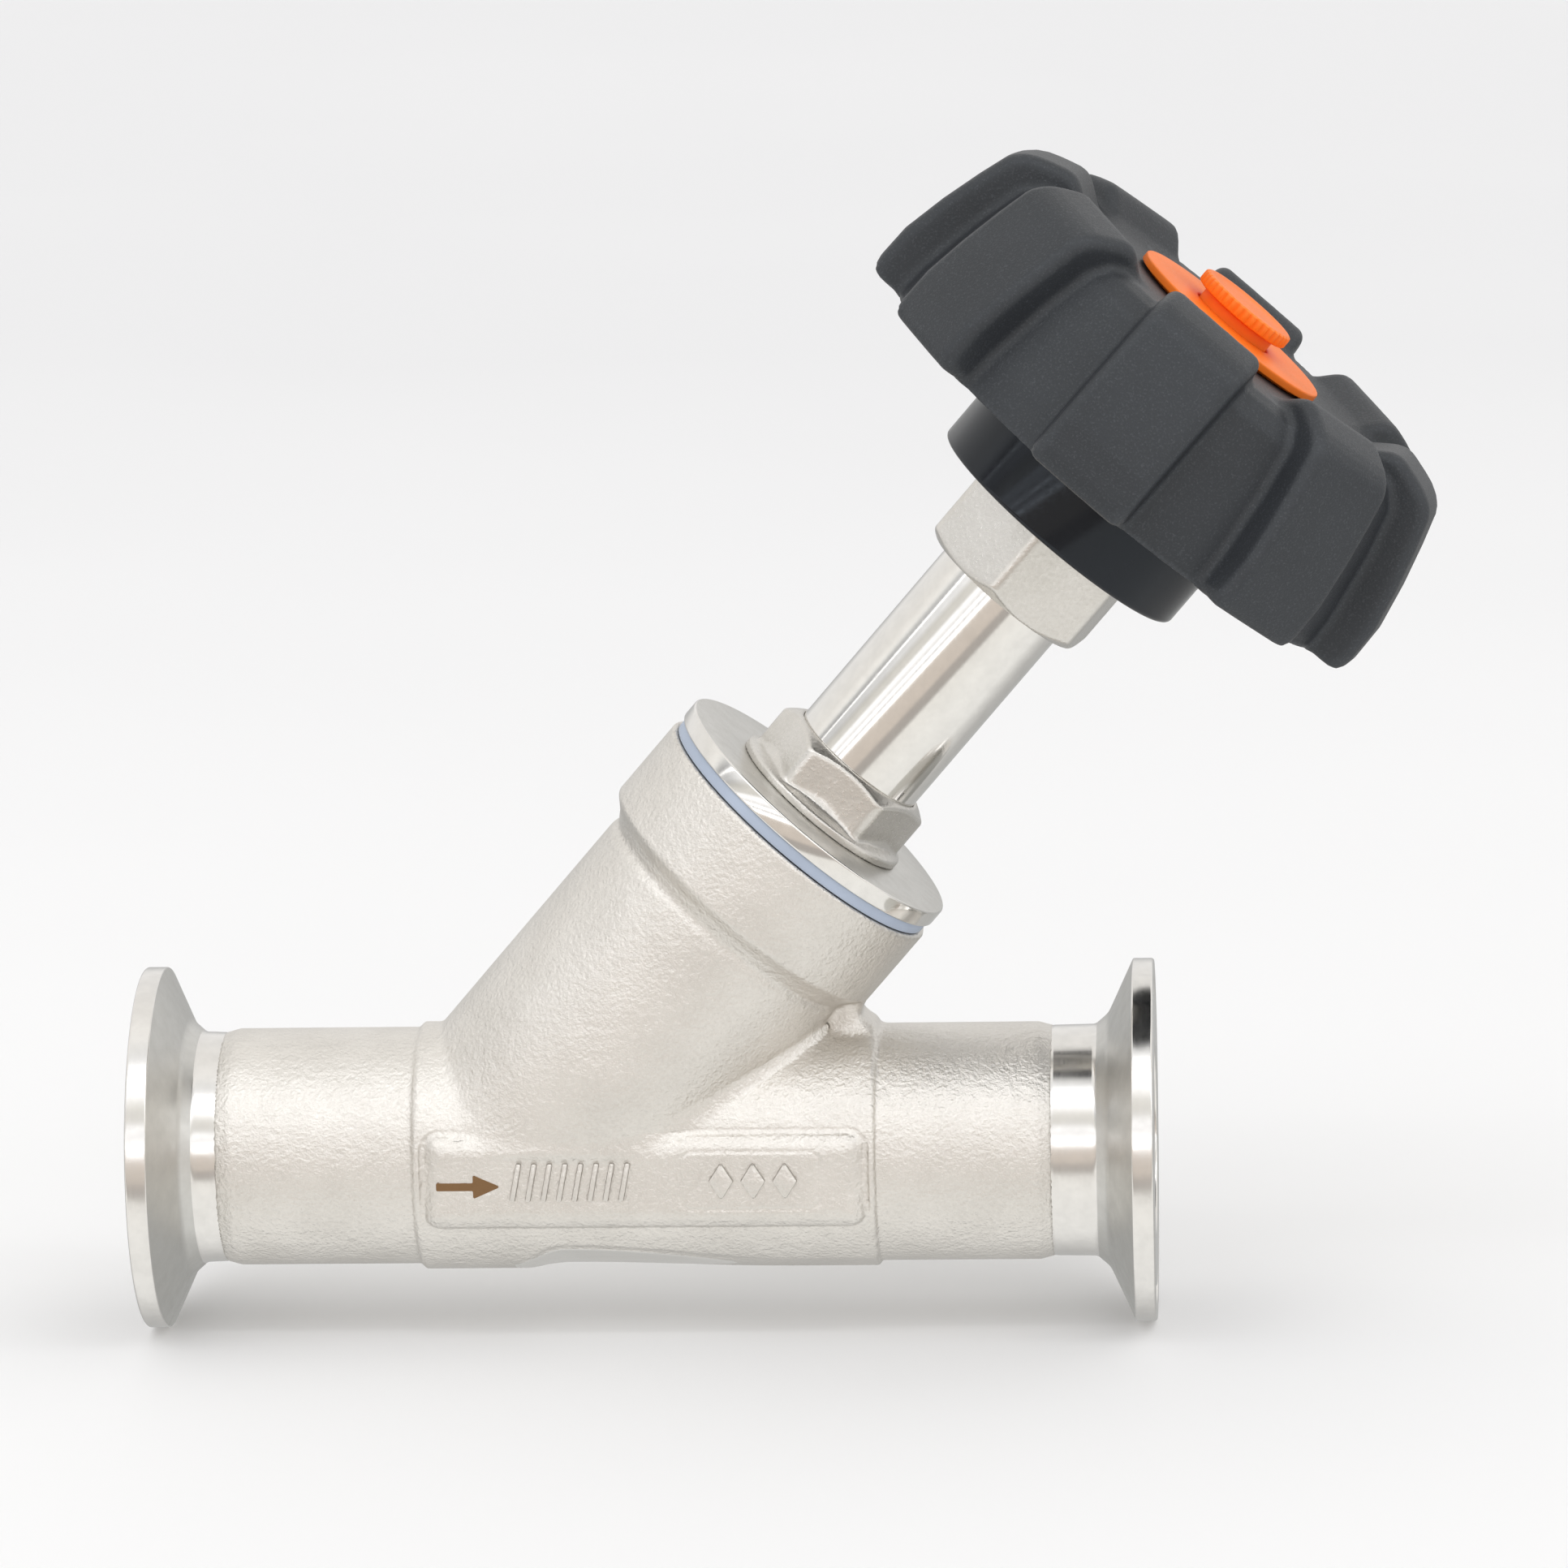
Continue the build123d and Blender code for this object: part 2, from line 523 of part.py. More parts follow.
with BuildPart() as handwheel:
    turned(
        [
            (0, WHEEL_LOW),
            (VALLEY_LOW_R, WHEEL_LOW),
            (VALLEY_HIGH_R, DECK - VALLEY_EDGE),
            (VALLEY_HIGH_R - VALLEY_SHOULDER, DECK - VALLEY_SHOULDER),
            (VALLEY_HIGH_R - VALLEY_EDGE, DECK),
            (0, DECK),
        ]
    )
    for number in range(LOBES):
        add(lobe_blank.part.rotate(BONNET_AXIS, -number * 360 / LOBES))
    turned(
        [
            (HUB_R, WHEEL_LOW),
            (VALLEY_LOW_R - WALL, WHEEL_LOW),
            (VALLEY_HIGH_R - WALL, DECK_UNDER - WALL_CORNER),
            (VALLEY_HIGH_R - WALL - WALL_CORNER, DECK_UNDER),
            (HUB_R, DECK_UNDER),
        ],
        Mode.SUBTRACT,
    )
    ring(0, HUB_R, WHEEL_LOW, HUB_LOW, Mode.SUBTRACT)
    for turn in lobe_turns:
        lobe(turn, lobe_hollow, LOBE_WIDTH - 2 * WALL, Mode.SUBTRACT)
    hexagon(HUB_FLAT + 2 * FIT, HUB_LOW, HUB_SHELF, LOBE_TURN, Mode.SUBTRACT)
    ring(0, POCKET_R, HUB_SHELF, DECK, Mode.SUBTRACT)
finish(handwheel, "handwheel")

with BuildPart() as wheel_washer:
    ring(NUT_END_R + FIT, WHEEL_WASHER_R, HUB_SHELF, WHEEL_WASHER_TOP)
finish(wheel_washer, "wheel_washer")

with BuildPart() as wheel_nut:
    hexagon(WHEEL_NUT_FLAT, WHEEL_WASHER_TOP, WHEEL_NUT_TOP, LOBE_TURN)
    ring(0, NUT_END_R + FIT, WHEEL_WASHER_TOP, WHEEL_NUT_TOP, Mode.SUBTRACT)
finish(wheel_nut, "wheel_nut")

with BuildPart() as indicator_cover:
    ring(COVER_HOLE_R, COVER_SEAT_R, DECK, COVER_DISC_LOW)
    ring(COVER_HOLE_R, COVER_DISC_R, COVER_DISC_LOW, COVER_DISC_TOP)
    ring(COVER_LIP_R, POCKET_R - FIT, COVER_LIP_LOW, DECK)
    fillet(rim_edges(indicator_cover, COVER_DISC_R, DECK + FIT), radius=COVER_DISC_ROUND)
finish(indicator_cover, "indicator_cover")

# --- Stem, rising without turning ----------------------------------------------------------------
with BuildPart() as stem:
    turned(
        [
            (0, STEM_END_LOW),
            (STEM_END_R - STEM_BEVEL, STEM_END_LOW),
            (STEM_END_R, STEM_END_LOW + STEM_BEVEL),
            (STEM_END_R, STEM_SHOULDER),
            (STEM_R, STEM_SHOULDER),
            (STEM_R, STEM_TOP),
            (STEM_TIP_R, STEM_TOP),
            (STEM_TIP_R, STEM_TIP_TOP),
            (0, STEM_TIP_TOP),
        ]
    )
    with BuildSketch(bonnet_at(STEM_KEY_LOW)) as key_flats:
        Rectangle(2 * TUBE_R, 2 * TUBE_R)
        Rectangle(STEM_FLAT, 2 * TUBE_R, mode=Mode.SUBTRACT)
    extrude(key_flats.sketch, amount=STEM_KEY_HIGH - STEM_KEY_LOW, mode=Mode.SUBTRACT)
finish(stem, "stem")

with BuildPart() as plug:
    turned(
        [
            (STEM_END_R + FIT, PLUG_LOW),
            (PLUG_R, PLUG_LOW),
            (PLUG_R, PLUG_EDGE),
            (PLUG_NECK_R, STEM_SHOULDER),
            (STEM_END_R + FIT, STEM_SHOULDER),
        ]
    )
finish(plug, "plug")

with BuildPart() as seat_seal:
    ring(STEM_END_R + FIT, SEAL_R, SEAL_LOW, PLUG_LOW)
finish(seat_seal, "seat_seal")

with BuildPart() as seal_washer:
    ring(STEM_END_R + FIT, SEAL_WASHER_R, SEAL_WASHER_LOW, SEAL_LOW)
finish(seal_washer, "seal_washer")

with BuildPart() as plug_nut:
    hexagon(PLUG_NUT_FLAT, PLUG_NUT_LOW, SEAL_WASHER_LOW)
    ring(0, STEM_END_R + FIT, PLUG_NUT_LOW, SEAL_WASHER_LOW, Mode.SUBTRACT)
finish(plug_nut, "plug_nut")

with BuildPart() as indicator_knob:
    ring(0, KNOB_NECK_R, KNOB_LOW, KNOB_HEAD_LOW)
    ring(0, KNOB_R, KNOB_HEAD_LOW, KNOB_TOP)
    with BuildSketch(bonnet_at(KNOB_HEAD_LOW)) as serrations:
        with PolarLocations(KNOB_R, KNOB_TEETH):
            Circle(KNOB_TOOTH_R)
    extrude(serrations.sketch, amount=KNOB_TOP - KNOB_HEAD_LOW, mode=Mode.SUBTRACT)
    ring(0, STEM_TIP_R + FIT, KNOB_LOW, STEM_TIP_TOP + PLAY, Mode.SUBTRACT)
finish(indicator_knob, "indicator_knob")
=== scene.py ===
"""Looks for the angle seat valve: detailed pieces, materials, floor, light and camera round the CAD frame."""

import math

import bmesh
import bpy
import numpy as np
from mathutils import Matrix, Vector


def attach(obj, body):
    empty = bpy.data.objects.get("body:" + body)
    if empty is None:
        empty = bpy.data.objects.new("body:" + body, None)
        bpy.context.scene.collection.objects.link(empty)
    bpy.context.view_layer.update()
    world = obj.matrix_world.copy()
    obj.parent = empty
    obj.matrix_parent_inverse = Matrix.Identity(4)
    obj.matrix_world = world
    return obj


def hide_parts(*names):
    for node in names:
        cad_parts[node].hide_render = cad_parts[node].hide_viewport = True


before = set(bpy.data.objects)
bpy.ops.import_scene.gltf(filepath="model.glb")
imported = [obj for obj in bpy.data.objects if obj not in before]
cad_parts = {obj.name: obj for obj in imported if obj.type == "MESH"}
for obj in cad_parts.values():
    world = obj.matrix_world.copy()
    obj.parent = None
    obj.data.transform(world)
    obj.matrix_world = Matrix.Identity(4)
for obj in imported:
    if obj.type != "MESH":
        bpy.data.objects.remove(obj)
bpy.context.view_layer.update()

MM = 0.001

# The bonnet's own frame: origin where the two axes cross, heights along UP, turns from FRONT to ACROSS
BONNET_ANGLE = math.radians(49.0)
UP = np.array([math.cos(BONNET_ANGLE), 0, math.sin(BONNET_ANGLE)])
ACROSS = np.array([math.sin(BONNET_ANGLE), 0, -math.cos(BONNET_ANGLE)])
FRONT = np.array([0, -1.0, 0])
CROSSING = np.array([53.6, 0, 0])


def to_bonnet(points):
    """Row-frame millimetres to (front, across, height) millimetres of the bonnet frame."""
    return (points - CROSSING) @ np.stack([FRONT, ACROSS, UP], 1)


def from_bonnet(points):
    return CROSSING + points @ np.stack([FRONT, ACROSS, UP])


# --- Distance fields ------------------------------------------------------------------------------
def outline_field(u, v, corners):
    """Signed distance to a closed flat outline, negative inside."""
    nearest = np.full(u.shape, 1e9)
    inside = np.zeros(u.shape, bool)
    for (au, av), (bu, bv) in zip(corners, corners[1:] + corners[:1]):
        eu, ev = bu - au, bv - av
        wu, wv = u - au, v - av
        along = np.clip((wu * eu + wv * ev) / (eu * eu + ev * ev), 0, 1)
        nearest = np.minimum(nearest, (wu - eu * along) ** 2 + (wv - ev * along) ** 2)
        crosses = ((av > v) != (bv > v)) & (wu < eu * wv / (ev if ev else 1e-9))
        inside ^= crosses
    return np.where(inside, -1, 1) * np.sqrt(nearest)


def both(a, b, radius):
    """Intersection of two fields with an edge of that radius."""
    deep = np.minimum(-radius, np.maximum(a, b))
    return deep + np.hypot(np.maximum(radius + a, 0), np.maximum(radius + b, 0))


def either(a, b, radius):
    """Union of two fields with a fillet of that radius."""
    return -both(-a, -b, radius)


def panel(u, v, centre, half, corner):
    """Signed distance to a rectangle with round corners."""
    du = np.abs(u - centre[0]) - half[0] + corner
    dv = np.abs(v - centre[1]) - half[1] + corner
    return np.hypot(np.maximum(du, 0), np.maximum(dv, 0)) + np.minimum(np.maximum(du, dv), 0) - corner


def bell(distance, width):
    """1 at no distance, falling away smoothly over about the width."""
    return np.exp(-((distance / width) ** 2))


def step(value, low, high):
    """0 below low, 1 above high, smooth between."""
    share = np.clip((value - low) / (high - low), 0, 1)
    return share * share * (3 - 2 * share)


def between(ends, share):
    """The first of two values where share is 0, the second where it is 1."""
    return ends[0] + (ends[1] - ends[0]) * share


def hexagon(front, across, flats, turn, corner):
    """Six flats about the axis, with worn corners; one flat faces turn degrees."""
    sides = []
    for number in range(3):
        angle = math.radians(turn + 60 * number)
        sides.append(np.abs(front * math.cos(angle) + across * math.sin(angle)) - flats / 2)
    return both(both(sides[0], sides[1], corner), sides[2], corner)


# --- Mesh helpers ---------------------------------------------------------------------------------
def place(name, mesh, body, materials, nodes=(), smooth_angle=30):
    """A piece of the looks that rides on a body and may stand in for CAD nodes."""
    mesh.shade_smooth()
    if smooth_angle:
        mesh.set_sharp_from_angle(angle=math.radians(smooth_angle))
    mesh.materials.clear()
    for material in materials:
        mesh.materials.append(material)
    piece = bpy.data.objects.new(name, mesh)
    bpy.context.scene.collection.objects.link(piece)
    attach(piece, body)
    if nodes:
        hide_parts(*nodes)
    return piece


STRAIGHT = math.radians(176)


def rounded(outline, radius, steps=4):
    """The closed outline with each corner turned into an arc; radius may be one per corner."""
    count = len(outline)
    radii = radius if isinstance(radius, (list, tuple)) else [radius] * count
    points = []
    for i in range(count):
        here = np.array(outline[i], float)
        before = np.array(outline[i - 1], float) - here
        after = np.array(outline[(i + 1) % count], float) - here
        long_in, long_out = np.linalg.norm(before), np.linalg.norm(after)
        before, after = before / long_in, after / long_out
        opening = math.acos(float(np.clip(before @ after, -1, 1)))
        if radii[i] <= 0 or opening > STRAIGHT:
            points.append(here)
            continue
        cut = min(radii[i] / math.tan(opening / 2), 0.48 * long_in, 0.48 * long_out)
        arc = cut * math.tan(opening / 2)
        bisector = (before + after) / np.linalg.norm(before + after)
        centre = here + bisector * math.hypot(cut, arc)
        start, end = here + before * cut - centre, here + after * cut - centre
        turn = math.atan2(start[0] * end[1] - start[1] * end[0], start @ end)
        for k in range(steps + 1):
            angle = turn * k / steps
            c, s = math.cos(angle), math.sin(angle)
            points.append(centre + [c * start[0] - s * start[1], s * start[0] + c * start[1]])
    return [tuple(p) for p in points]


def lathe_points(outline, segments, place_ring):
    """Rings of points, one for each (radius, height) of the outline."""
    points = []
    for radius, height in outline:
        for k in range(segments):
            angle = 2 * math.pi * k / segments
            points.append(place_ring(radius * math.cos(angle), radius * math.sin(angle), height))
    return np.array(points)


def lathe_faces(rows, segments):
    """Faces between neighbouring rings, the last of which joins the first."""
    faces = []
    for i in range(rows):
        nxt = (i + 1) % rows
        for k in range(segments):
            right = (k + 1) % segments
            faces.append(
                (i * segments + k, i * segments + right, nxt * segments + right, nxt * segments + k)
            )
    return faces


def about_bonnet(front, across, height):
    return from_bonnet(np.array([front, across, height]))


def about_pipe(front, across, height):
    return np.array([height, -front, across])


def turned(name, outline, axis, body, materials, nodes=(), segments=256):
    """A ring turned from a closed outline of (radius, height) points, none of them on the axis."""
    points = lathe_points(outline, segments, axis)
    mesh = bpy.data.meshes.new(name)
    mesh.from_pydata((points * MM).tolist(), [], lathe_faces(len(outline), segments))
    outward(mesh)
    return place(name, mesh, body, materials, nodes, smooth_angle=24)


def outward(mesh):
    """Turn every face so that its normal points out of the closed mesh."""
    shape = bmesh.new()
    shape.from_mesh(mesh)
    bmesh.ops.recalc_face_normals(shape, faces=shape.faces)
    shape.to_mesh(mesh)
    shape.free()


def remeshed(node, voxel):
    """An even quad skin of a CAD node, in a new mesh."""
    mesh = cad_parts[node].data.copy()
    shape = bmesh.new()
    shape.from_mesh(mesh)
    bmesh.ops.remove_doubles(shape, verts=shape.verts, dist=1e-6)
    shape.to_mesh(mesh)
    shape.free()
    holder = bpy.data.objects.new("holder", mesh)
    bpy.context.scene.collection.objects.link(holder)
    skin = holder.modifiers.new("skin", "REMESH")
    skin.mode = "VOXEL"
    skin.voxel_size = voxel * MM
    skin.adaptivity = 0
    bpy.context.view_layer.update()
    evaluated = holder.evaluated_get(bpy.context.evaluated_depsgraph_get())
    result = bpy.data.meshes.new_from_object(evaluated)
    bpy.data.objects.remove(holder)
    return result


def refined(mesh, wanted):
    """Split into four the faces whose middle lies where wanted says so."""
    shape = bmesh.new()
    shape.from_mesh(mesh)
    middles = np.array([face.calc_center_median() for face in shape.faces]) / MM
    for face, use in zip(shape.faces, wanted(middles)):
        face.tag = bool(use)
    edges = [edge for edge in shape.edges if any(face.tag for face in edge.link_faces)]
    bmesh.ops.subdivide_edges(shape, edges=edges, cuts=1, use_grid_fill=True)
    shape.to_mesh(mesh)
    shape.free()


def softened(mesh, wanted, passes):
    """Average each chosen vertex with its neighbours, a few times over."""
    shape = bmesh.new()
    shape.from_mesh(mesh)
    places = np.array([vert.co for vert in shape.verts]) / MM
    chosen = [vert for vert, use in zip(shape.verts, wanted(places)) if use]
    for _ in range(passes):
        bmesh.ops.smooth_vert(shape, verts=chosen, factor=0.5, use_axis_x=True, use_axis_y=True,
                              use_axis_z=True)
    shape.to_mesh(mesh)
    shape.free()


def read_points(mesh):
    flat = np.zeros(len(mesh.vertices) * 3, np.float32)
    mesh.vertices.foreach_get("co", flat)
    return flat.reshape(-1, 3).astype(float) / MM


def write_points(mesh, points):
    mesh.vertices.foreach_set("co", (points * MM).astype(np.float32).ravel())
    mesh.update()


def slope(field, points, gap=0.02):
    """The field's value and gradient at points."""
    here = field(points)
    gradient = np.zeros_like(points)
    for axis in range(3):
        moved = points.copy()
        moved[:, axis] += gap
        gradient[:, axis] = (field(moved) - here) / gap
    return here, gradient


# How well a point's normal must agree with the field's slope: not at all moved, fully moved
AGREEMENT = (0.15, 0.45)


def settle(mesh, field, reach, passes=5):
    """Draw the skin's outer points onto the field's zero surface; inner walls stay where they are."""
    points = read_points(mesh)
    normals = np.zeros(len(mesh.vertices) * 3, np.float32)
    mesh.vertex_normals.foreach_get("vector", normals)
    normals = normals.reshape(-1, 3)
    value, gradient = slope(field, points)
    size = np.linalg.norm(gradient, axis=1) + 1e-9
    agree = np.einsum("ij,ij->i", gradient, normals) / size
    chosen = np.nonzero((np.abs(value) < reach) & (agree > AGREEMENT[0]))[0]
    share = step(agree[chosen], *AGREEMENT)[:, None]
    start = points[chosen]
    moving = start.copy()
    for _ in range(passes):
        value, gradient = slope(field, moving)
        size2 = np.einsum("ij,ij->i", gradient, gradient) + 1e-6
        moving = moving - gradient * (value / size2)[:, None]
    points[chosen] = start + (moving - start) * share
    write_points(mesh, points)


# --- Material helpers -----------------------------------------------------------------------------
class Nodes:
    """A material whose nodes are added one call at a time; every texture is laid out in object space."""

    def __init__(self, name):
        self.material = bpy.data.materials.new(name)
        self.material.use_nodes = True
        self.tree = self.material.node_tree
        self.shader = self.tree.nodes["Principled BSDF"]
        self.space = self.tree.nodes.new("ShaderNodeTexCoord").outputs["Object"]

    def put(self, target, value):
        if isinstance(value, bpy.types.NodeSocket):
            self.tree.links.new(value, target)
        else:
            target.default_value = value

    def set(self, **values):
        for name, value in values.items():
            self.put(self.shader.inputs[name.replace("_", " ")], value)
        return self

    def scaled(self, factors, turn=(0, 0, 0)):
        node = self.tree.nodes.new("ShaderNodeMapping")
        self.put(node.inputs["Vector"], self.space)
        node.inputs["Rotation"].default_value = turn
        node.inputs["Scale"].default_value = factors
        return node.outputs["Vector"]

    def noise(self, size_mm, detail=2.0, rough=0.5, space=None):
        node = self.tree.nodes.new("ShaderNodeTexNoise")
        self.put(node.inputs["Vector"], space or self.space)
        node.inputs["Scale"].default_value = 1 / (size_mm * MM)
        node.inputs["Detail"].default_value = detail
        node.inputs["Roughness"].default_value = rough
        return node.outputs["Fac"]

    def ranged(self, value, low, high, to_low=0.0, to_high=1.0):
        node = self.tree.nodes.new("ShaderNodeMapRange")
        self.put(node.inputs["Value"], value)
        node.inputs["From Min"].default_value = low
        node.inputs["From Max"].default_value = high
        node.inputs["To Min"].default_value = to_low
        node.inputs["To Max"].default_value = to_high
        return node.outputs["Result"]

    def mixed(self, share, first, second):
        node = self.tree.nodes.new("ShaderNodeMix")
        node.data_type = "RGBA"
        self.put(node.inputs[0], share)
        for target, colour in ((node.inputs[6], first), (node.inputs[7], second)):
            self.put(target, colour if isinstance(colour, bpy.types.NodeSocket) else (*colour, 1))
        return node.outputs[2]

    def sum(self, a, b, kind="ADD"):
        node = self.tree.nodes.new("ShaderNodeMath")
        node.operation = kind
        self.put(node.inputs[0], a)
        self.put(node.inputs[1], b)
        return node.outputs[0]

    def bump(self, height, depth_mm, strength=1.0, under=None):
        node = self.tree.nodes.new("ShaderNodeBump")
        self.put(node.inputs["Height"], height)
        node.inputs["Strength"].default_value = strength
        node.inputs["Distance"].default_value = depth_mm * MM
        if under is not None:
            self.put(node.inputs["Normal"], under)
        return node.outputs["Normal"]

    def edges(self, width_mm):
        """0 on flat faces, rising to 1 along edges and corners."""
        node = self.tree.nodes.new("ShaderNodeNewGeometry")
        return self.ranged(node.outputs["Pointiness"], 0.5 + 0.02 * width_mm, 0.5 + 0.12 * width_mm)


def cast_steel(name, colour, dark, grain_mm, depth_mm, rough):
    m = Nodes(name)
    broad = m.noise(9.0, 2.0)
    fine = m.noise(grain_mm, 3.0, 0.6)
    peel = m.noise(grain_mm * 2.6, 1.0)
    tone = m.mixed(m.ranged(broad, 0.35, 0.65), dark, colour)
    tone = m.mixed(m.ranged(fine, 0.3, 0.7, 0.0, 0.35), tone, [min(1, c * 1.12) for c in colour])
    m.set(Base_Color=tone, Metallic=1.0, Roughness=m.ranged(fine, 0.25, 0.75, rough + 0.07, rough - 0.07))
    height = m.sum(fine, m.sum(peel, 0.8, "MULTIPLY"))
    m.set(Normal=m.bump(height, depth_mm))
    return m.material


def turned_steel(name, colour, rough, line_mm, depth_mm, axis):
    """Machined steel: fine lines round the axis, faint smears and a little wear."""
    m = Nodes(name)
    along = (0, 0, 0) if axis == "pipe" else (0, BONNET_ANGLE, 0)
    # Squeezing the texture across the axis leaves rings: noise that changes along the axis only.
    lines = m.noise(line_mm, 2.0, 0.7, m.scaled((1, 0.004, 0.004), along))
    smear = m.noise(2.2, 3.0, 0.6, m.scaled((1, 1, 1)))
    tone = m.mixed(m.ranged(smear, 0.3, 0.7), colour, [c * 0.93 for c in colour])
    m.set(Base_Color=tone, Metallic=1.0)
    spread = m.sum(m.ranged(lines, 0.3, 0.7, -0.02, 0.03), m.ranged(smear, 0.3, 0.7, rough, rough * 1.35))
    m.set(Roughness=spread, Normal=m.bump(lines, depth_mm))
    return m.material


def moulded(name, colour, light, grain_mm, depth_mm, rough, coat=0.0, specks=0.0, gloss=0.5, tint=(1, 1, 1)):
    """Moulded plastic with a fine grain and slightly paler convex edges."""
    m = Nodes(name)
    grain = m.noise(grain_mm, 2.0, 0.55)
    broad = m.noise(14.0, 2.0)
    tone = m.mixed(m.ranged(broad, 0.35, 0.65), colour, [c * 0.85 for c in colour])
    tone = m.mixed(m.ranged(grain, 0.55, 0.8, 0.0, specks), tone, light)
    tone = m.mixed(m.ranged(m.edges(0.6), 0.0, 1.0, 0.0, 0.35), tone, light)
    m.set(Base_Color=tone, Roughness=m.ranged(grain, 0.3, 0.7, rough + 0.06, rough - 0.06))
    m.set(Normal=m.bump(grain, depth_mm))
    m.shader.inputs["Coat Weight"].default_value = coat
    m.shader.inputs["Specular IOR Level"].default_value = gloss
    m.shader.inputs["Specular Tint"].default_value = (*tint, 1)
    m.shader.inputs["Coat Roughness"].default_value = 0.06
    return m.material


CAST = cast_steel("cast_steel_blasted", (0.785, 0.76, 0.72), (0.725, 0.70, 0.66), 0.5, 0.19, 0.38)
# A darker copy of the cast steel for the sloping sides of the raised marks: painted shade.
SHADED = cast_steel("cast_steel_painted_shade", (0.50, 0.48, 0.45), (0.44, 0.42, 0.39), 0.5, 0.10, 0.45)
GROUND = cast_steel("cast_steel_ground", (0.93, 0.915, 0.885), (0.88, 0.865, 0.83), 0.35, 0.05, 0.42)
NUT_CAST = cast_steel("nut_steel_tumbled", (0.70, 0.68, 0.645), (0.64, 0.62, 0.58), 0.5, 0.05, 0.31)
POLISHED_PIPE = turned_steel("steel_polished_pipe", (0.82, 0.805, 0.78), 0.15, 0.25, 0.002, "pipe")
SATIN_PIPE = turned_steel("steel_satin_pipe", (0.66, 0.655, 0.63), 0.30, 0.12, 0.006, "pipe")
POLISHED_BONNET = turned_steel("steel_polished_bonnet", (0.82, 0.805, 0.775), 0.08, 0.4, 0.003, "bonnet")
SATIN_BONNET = turned_steel("steel_satin_bonnet", (0.70, 0.69, 0.66), 0.28, 0.15, 0.006, "bonnet")
RUBBER = moulded("gasket_rubber", (0.43, 0.50, 0.62), (0.55, 0.61, 0.70), 0.25, 0.01, 0.5)
WHITE = moulded("white_fluoropolymer", (0.80, 0.80, 0.78), (0.86, 0.86, 0.85), 0.3, 0.01, 0.4)
SPRING = turned_steel("spring_wire_bright", (0.62, 0.62, 0.63), 0.2, 0.3, 0.004, "bonnet")
BRASS = turned_steel("brass_machined", (0.72, 0.54, 0.27), 0.22, 0.15, 0.006, "bonnet")
GLOSS = moulded("black_gloss_plastic", (0.008, 0.008, 0.010), (0.03, 0.03, 0.034), 0.8, 0.002, 0.12,
               gloss=0.36, tint=(0.80, 0.90, 1.0))
MATTE = moulded("charcoal_grained_plastic", (0.026, 0.029, 0.034), (0.085, 0.092, 0.104), 0.28, 0.05, 0.46,
                specks=0.5, tint=(0.94, 0.98, 1.0))
ORANGE = moulded("orange_plastic", (1.0, 0.205, 0.011), (1.0, 0.27, 0.035), 0.3, 0.008, 0.42, gloss=0.3)
MARK = moulded("laser_mark_brown", (0.17, 0.085, 0.025), (0.24, 0.13, 0.05), 0.3, 0.01, 0.6)

BY_SLOT = {
    "cast_steel": CAST,
    "machined_steel": SATIN_BONNET,
    "nut_steel": NUT_CAST,
    "gasket": RUBBER,
    "white_plastic": WHITE,
    "spring_steel": SPRING,
    "brass": BRASS,
    "black_gloss": GLOSS,
    "black_matte": MATTE,
    "orange": ORANGE,
}
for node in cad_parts.values():
    for holder in node.material_slots:
        found = [s for s in BY_SLOT if holder.material and holder.material.name.startswith(s)]
        if found:
            holder.material = BY_SLOT[max(found, key=len)]
        else:
            print("no slot for", node.name, holder.material and holder.material.name)

# --- Cast body ------------------------------------------------------------------------------------
PIPE_R, CENTRE_R, TUBE_R = 16.55, 17.3, 16.0
NECK_R, COLLAR_R, COLLAR_LOW, COLLAR_TOP = 20.3, 22.65, 45.0, 59.4
PAD_Y, PAD_CORNER = 18.0, 2.4
# The pad's bevel: how far it reaches along the face and down the side
BEVEL_IN, BEVEL_DOWN = 2.0, 1.6
PAD_MIDDLE, PAD_HALF = (70.85, -1.175), (30.65, 6.825)
CREASE_DEEP = 0.42
PIPE_OUTLINE = [
    (11.2, -20), (11.2, TUBE_R), (13.2, PIPE_R), (38.6, PIPE_R), (39.3, CENTRE_R),
    (102.2, CENTRE_R), (102.9, PIPE_R), (125.1, PIPE_R), (127.1, TUBE_R), (127.1, -20),
]
COLLAR_OUTLINE = [
    (-5, COLLAR_LOW - 3), (NECK_R - 1, COLLAR_LOW - 0.6), (NECK_R, COLLAR_LOW),
    (COLLAR_R, COLLAR_LOW + 2.35), (COLLAR_R, COLLAR_TOP), (-5, COLLAR_TOP),
]
# The ground gate: how far below the near side it faces, its greatest depth and where it lies along x
GATE_TURN, GATE_DEEP = math.radians(66.8), 1.47
GATE_X = (51.8, 59.0, 60.0, 92.0)
MARK_Z, MARK_HIGH = -0.9, 2.75
# The faint frame sunk round the second group of marks: middle, half sizes, corner, depth and width
SUNK_MIDDLE, SUNK_HALF, SUNK_CORNER = (85.6, MARK_Z), (9.6, 4.1), 1.6
SUNK_DEEP, SUNK_WIDE = 0.2, 0.24
# Small beads round the pipe, as (x, height, width), and the groove under the collar
PIPE_BEADS = ((102.6, 0.18, 0.35), (38.9, 0.08, 0.3))
GROOVE_DEEP, GROOVE_BELOW, GROOVE_WIDE = 0.35, 0.9, 0.8
# The seam: where it starts along x and z, where it swells, its height and width, plain and swollen
SEAM_X, SEAM_Z, SWELL_X = (79, 86), (5, 9), (86, 97)
SEAM_HIGH, SEAM_WIDE = (0.5, 0.95), (0.65, 1.15)
NECK_FILLET, FILLET_X = (0.5, 1.8), (46, 62)
RIM_DEEP, RIM_WIDE, RIM_X = 0.3, 0.26, (53, 57)
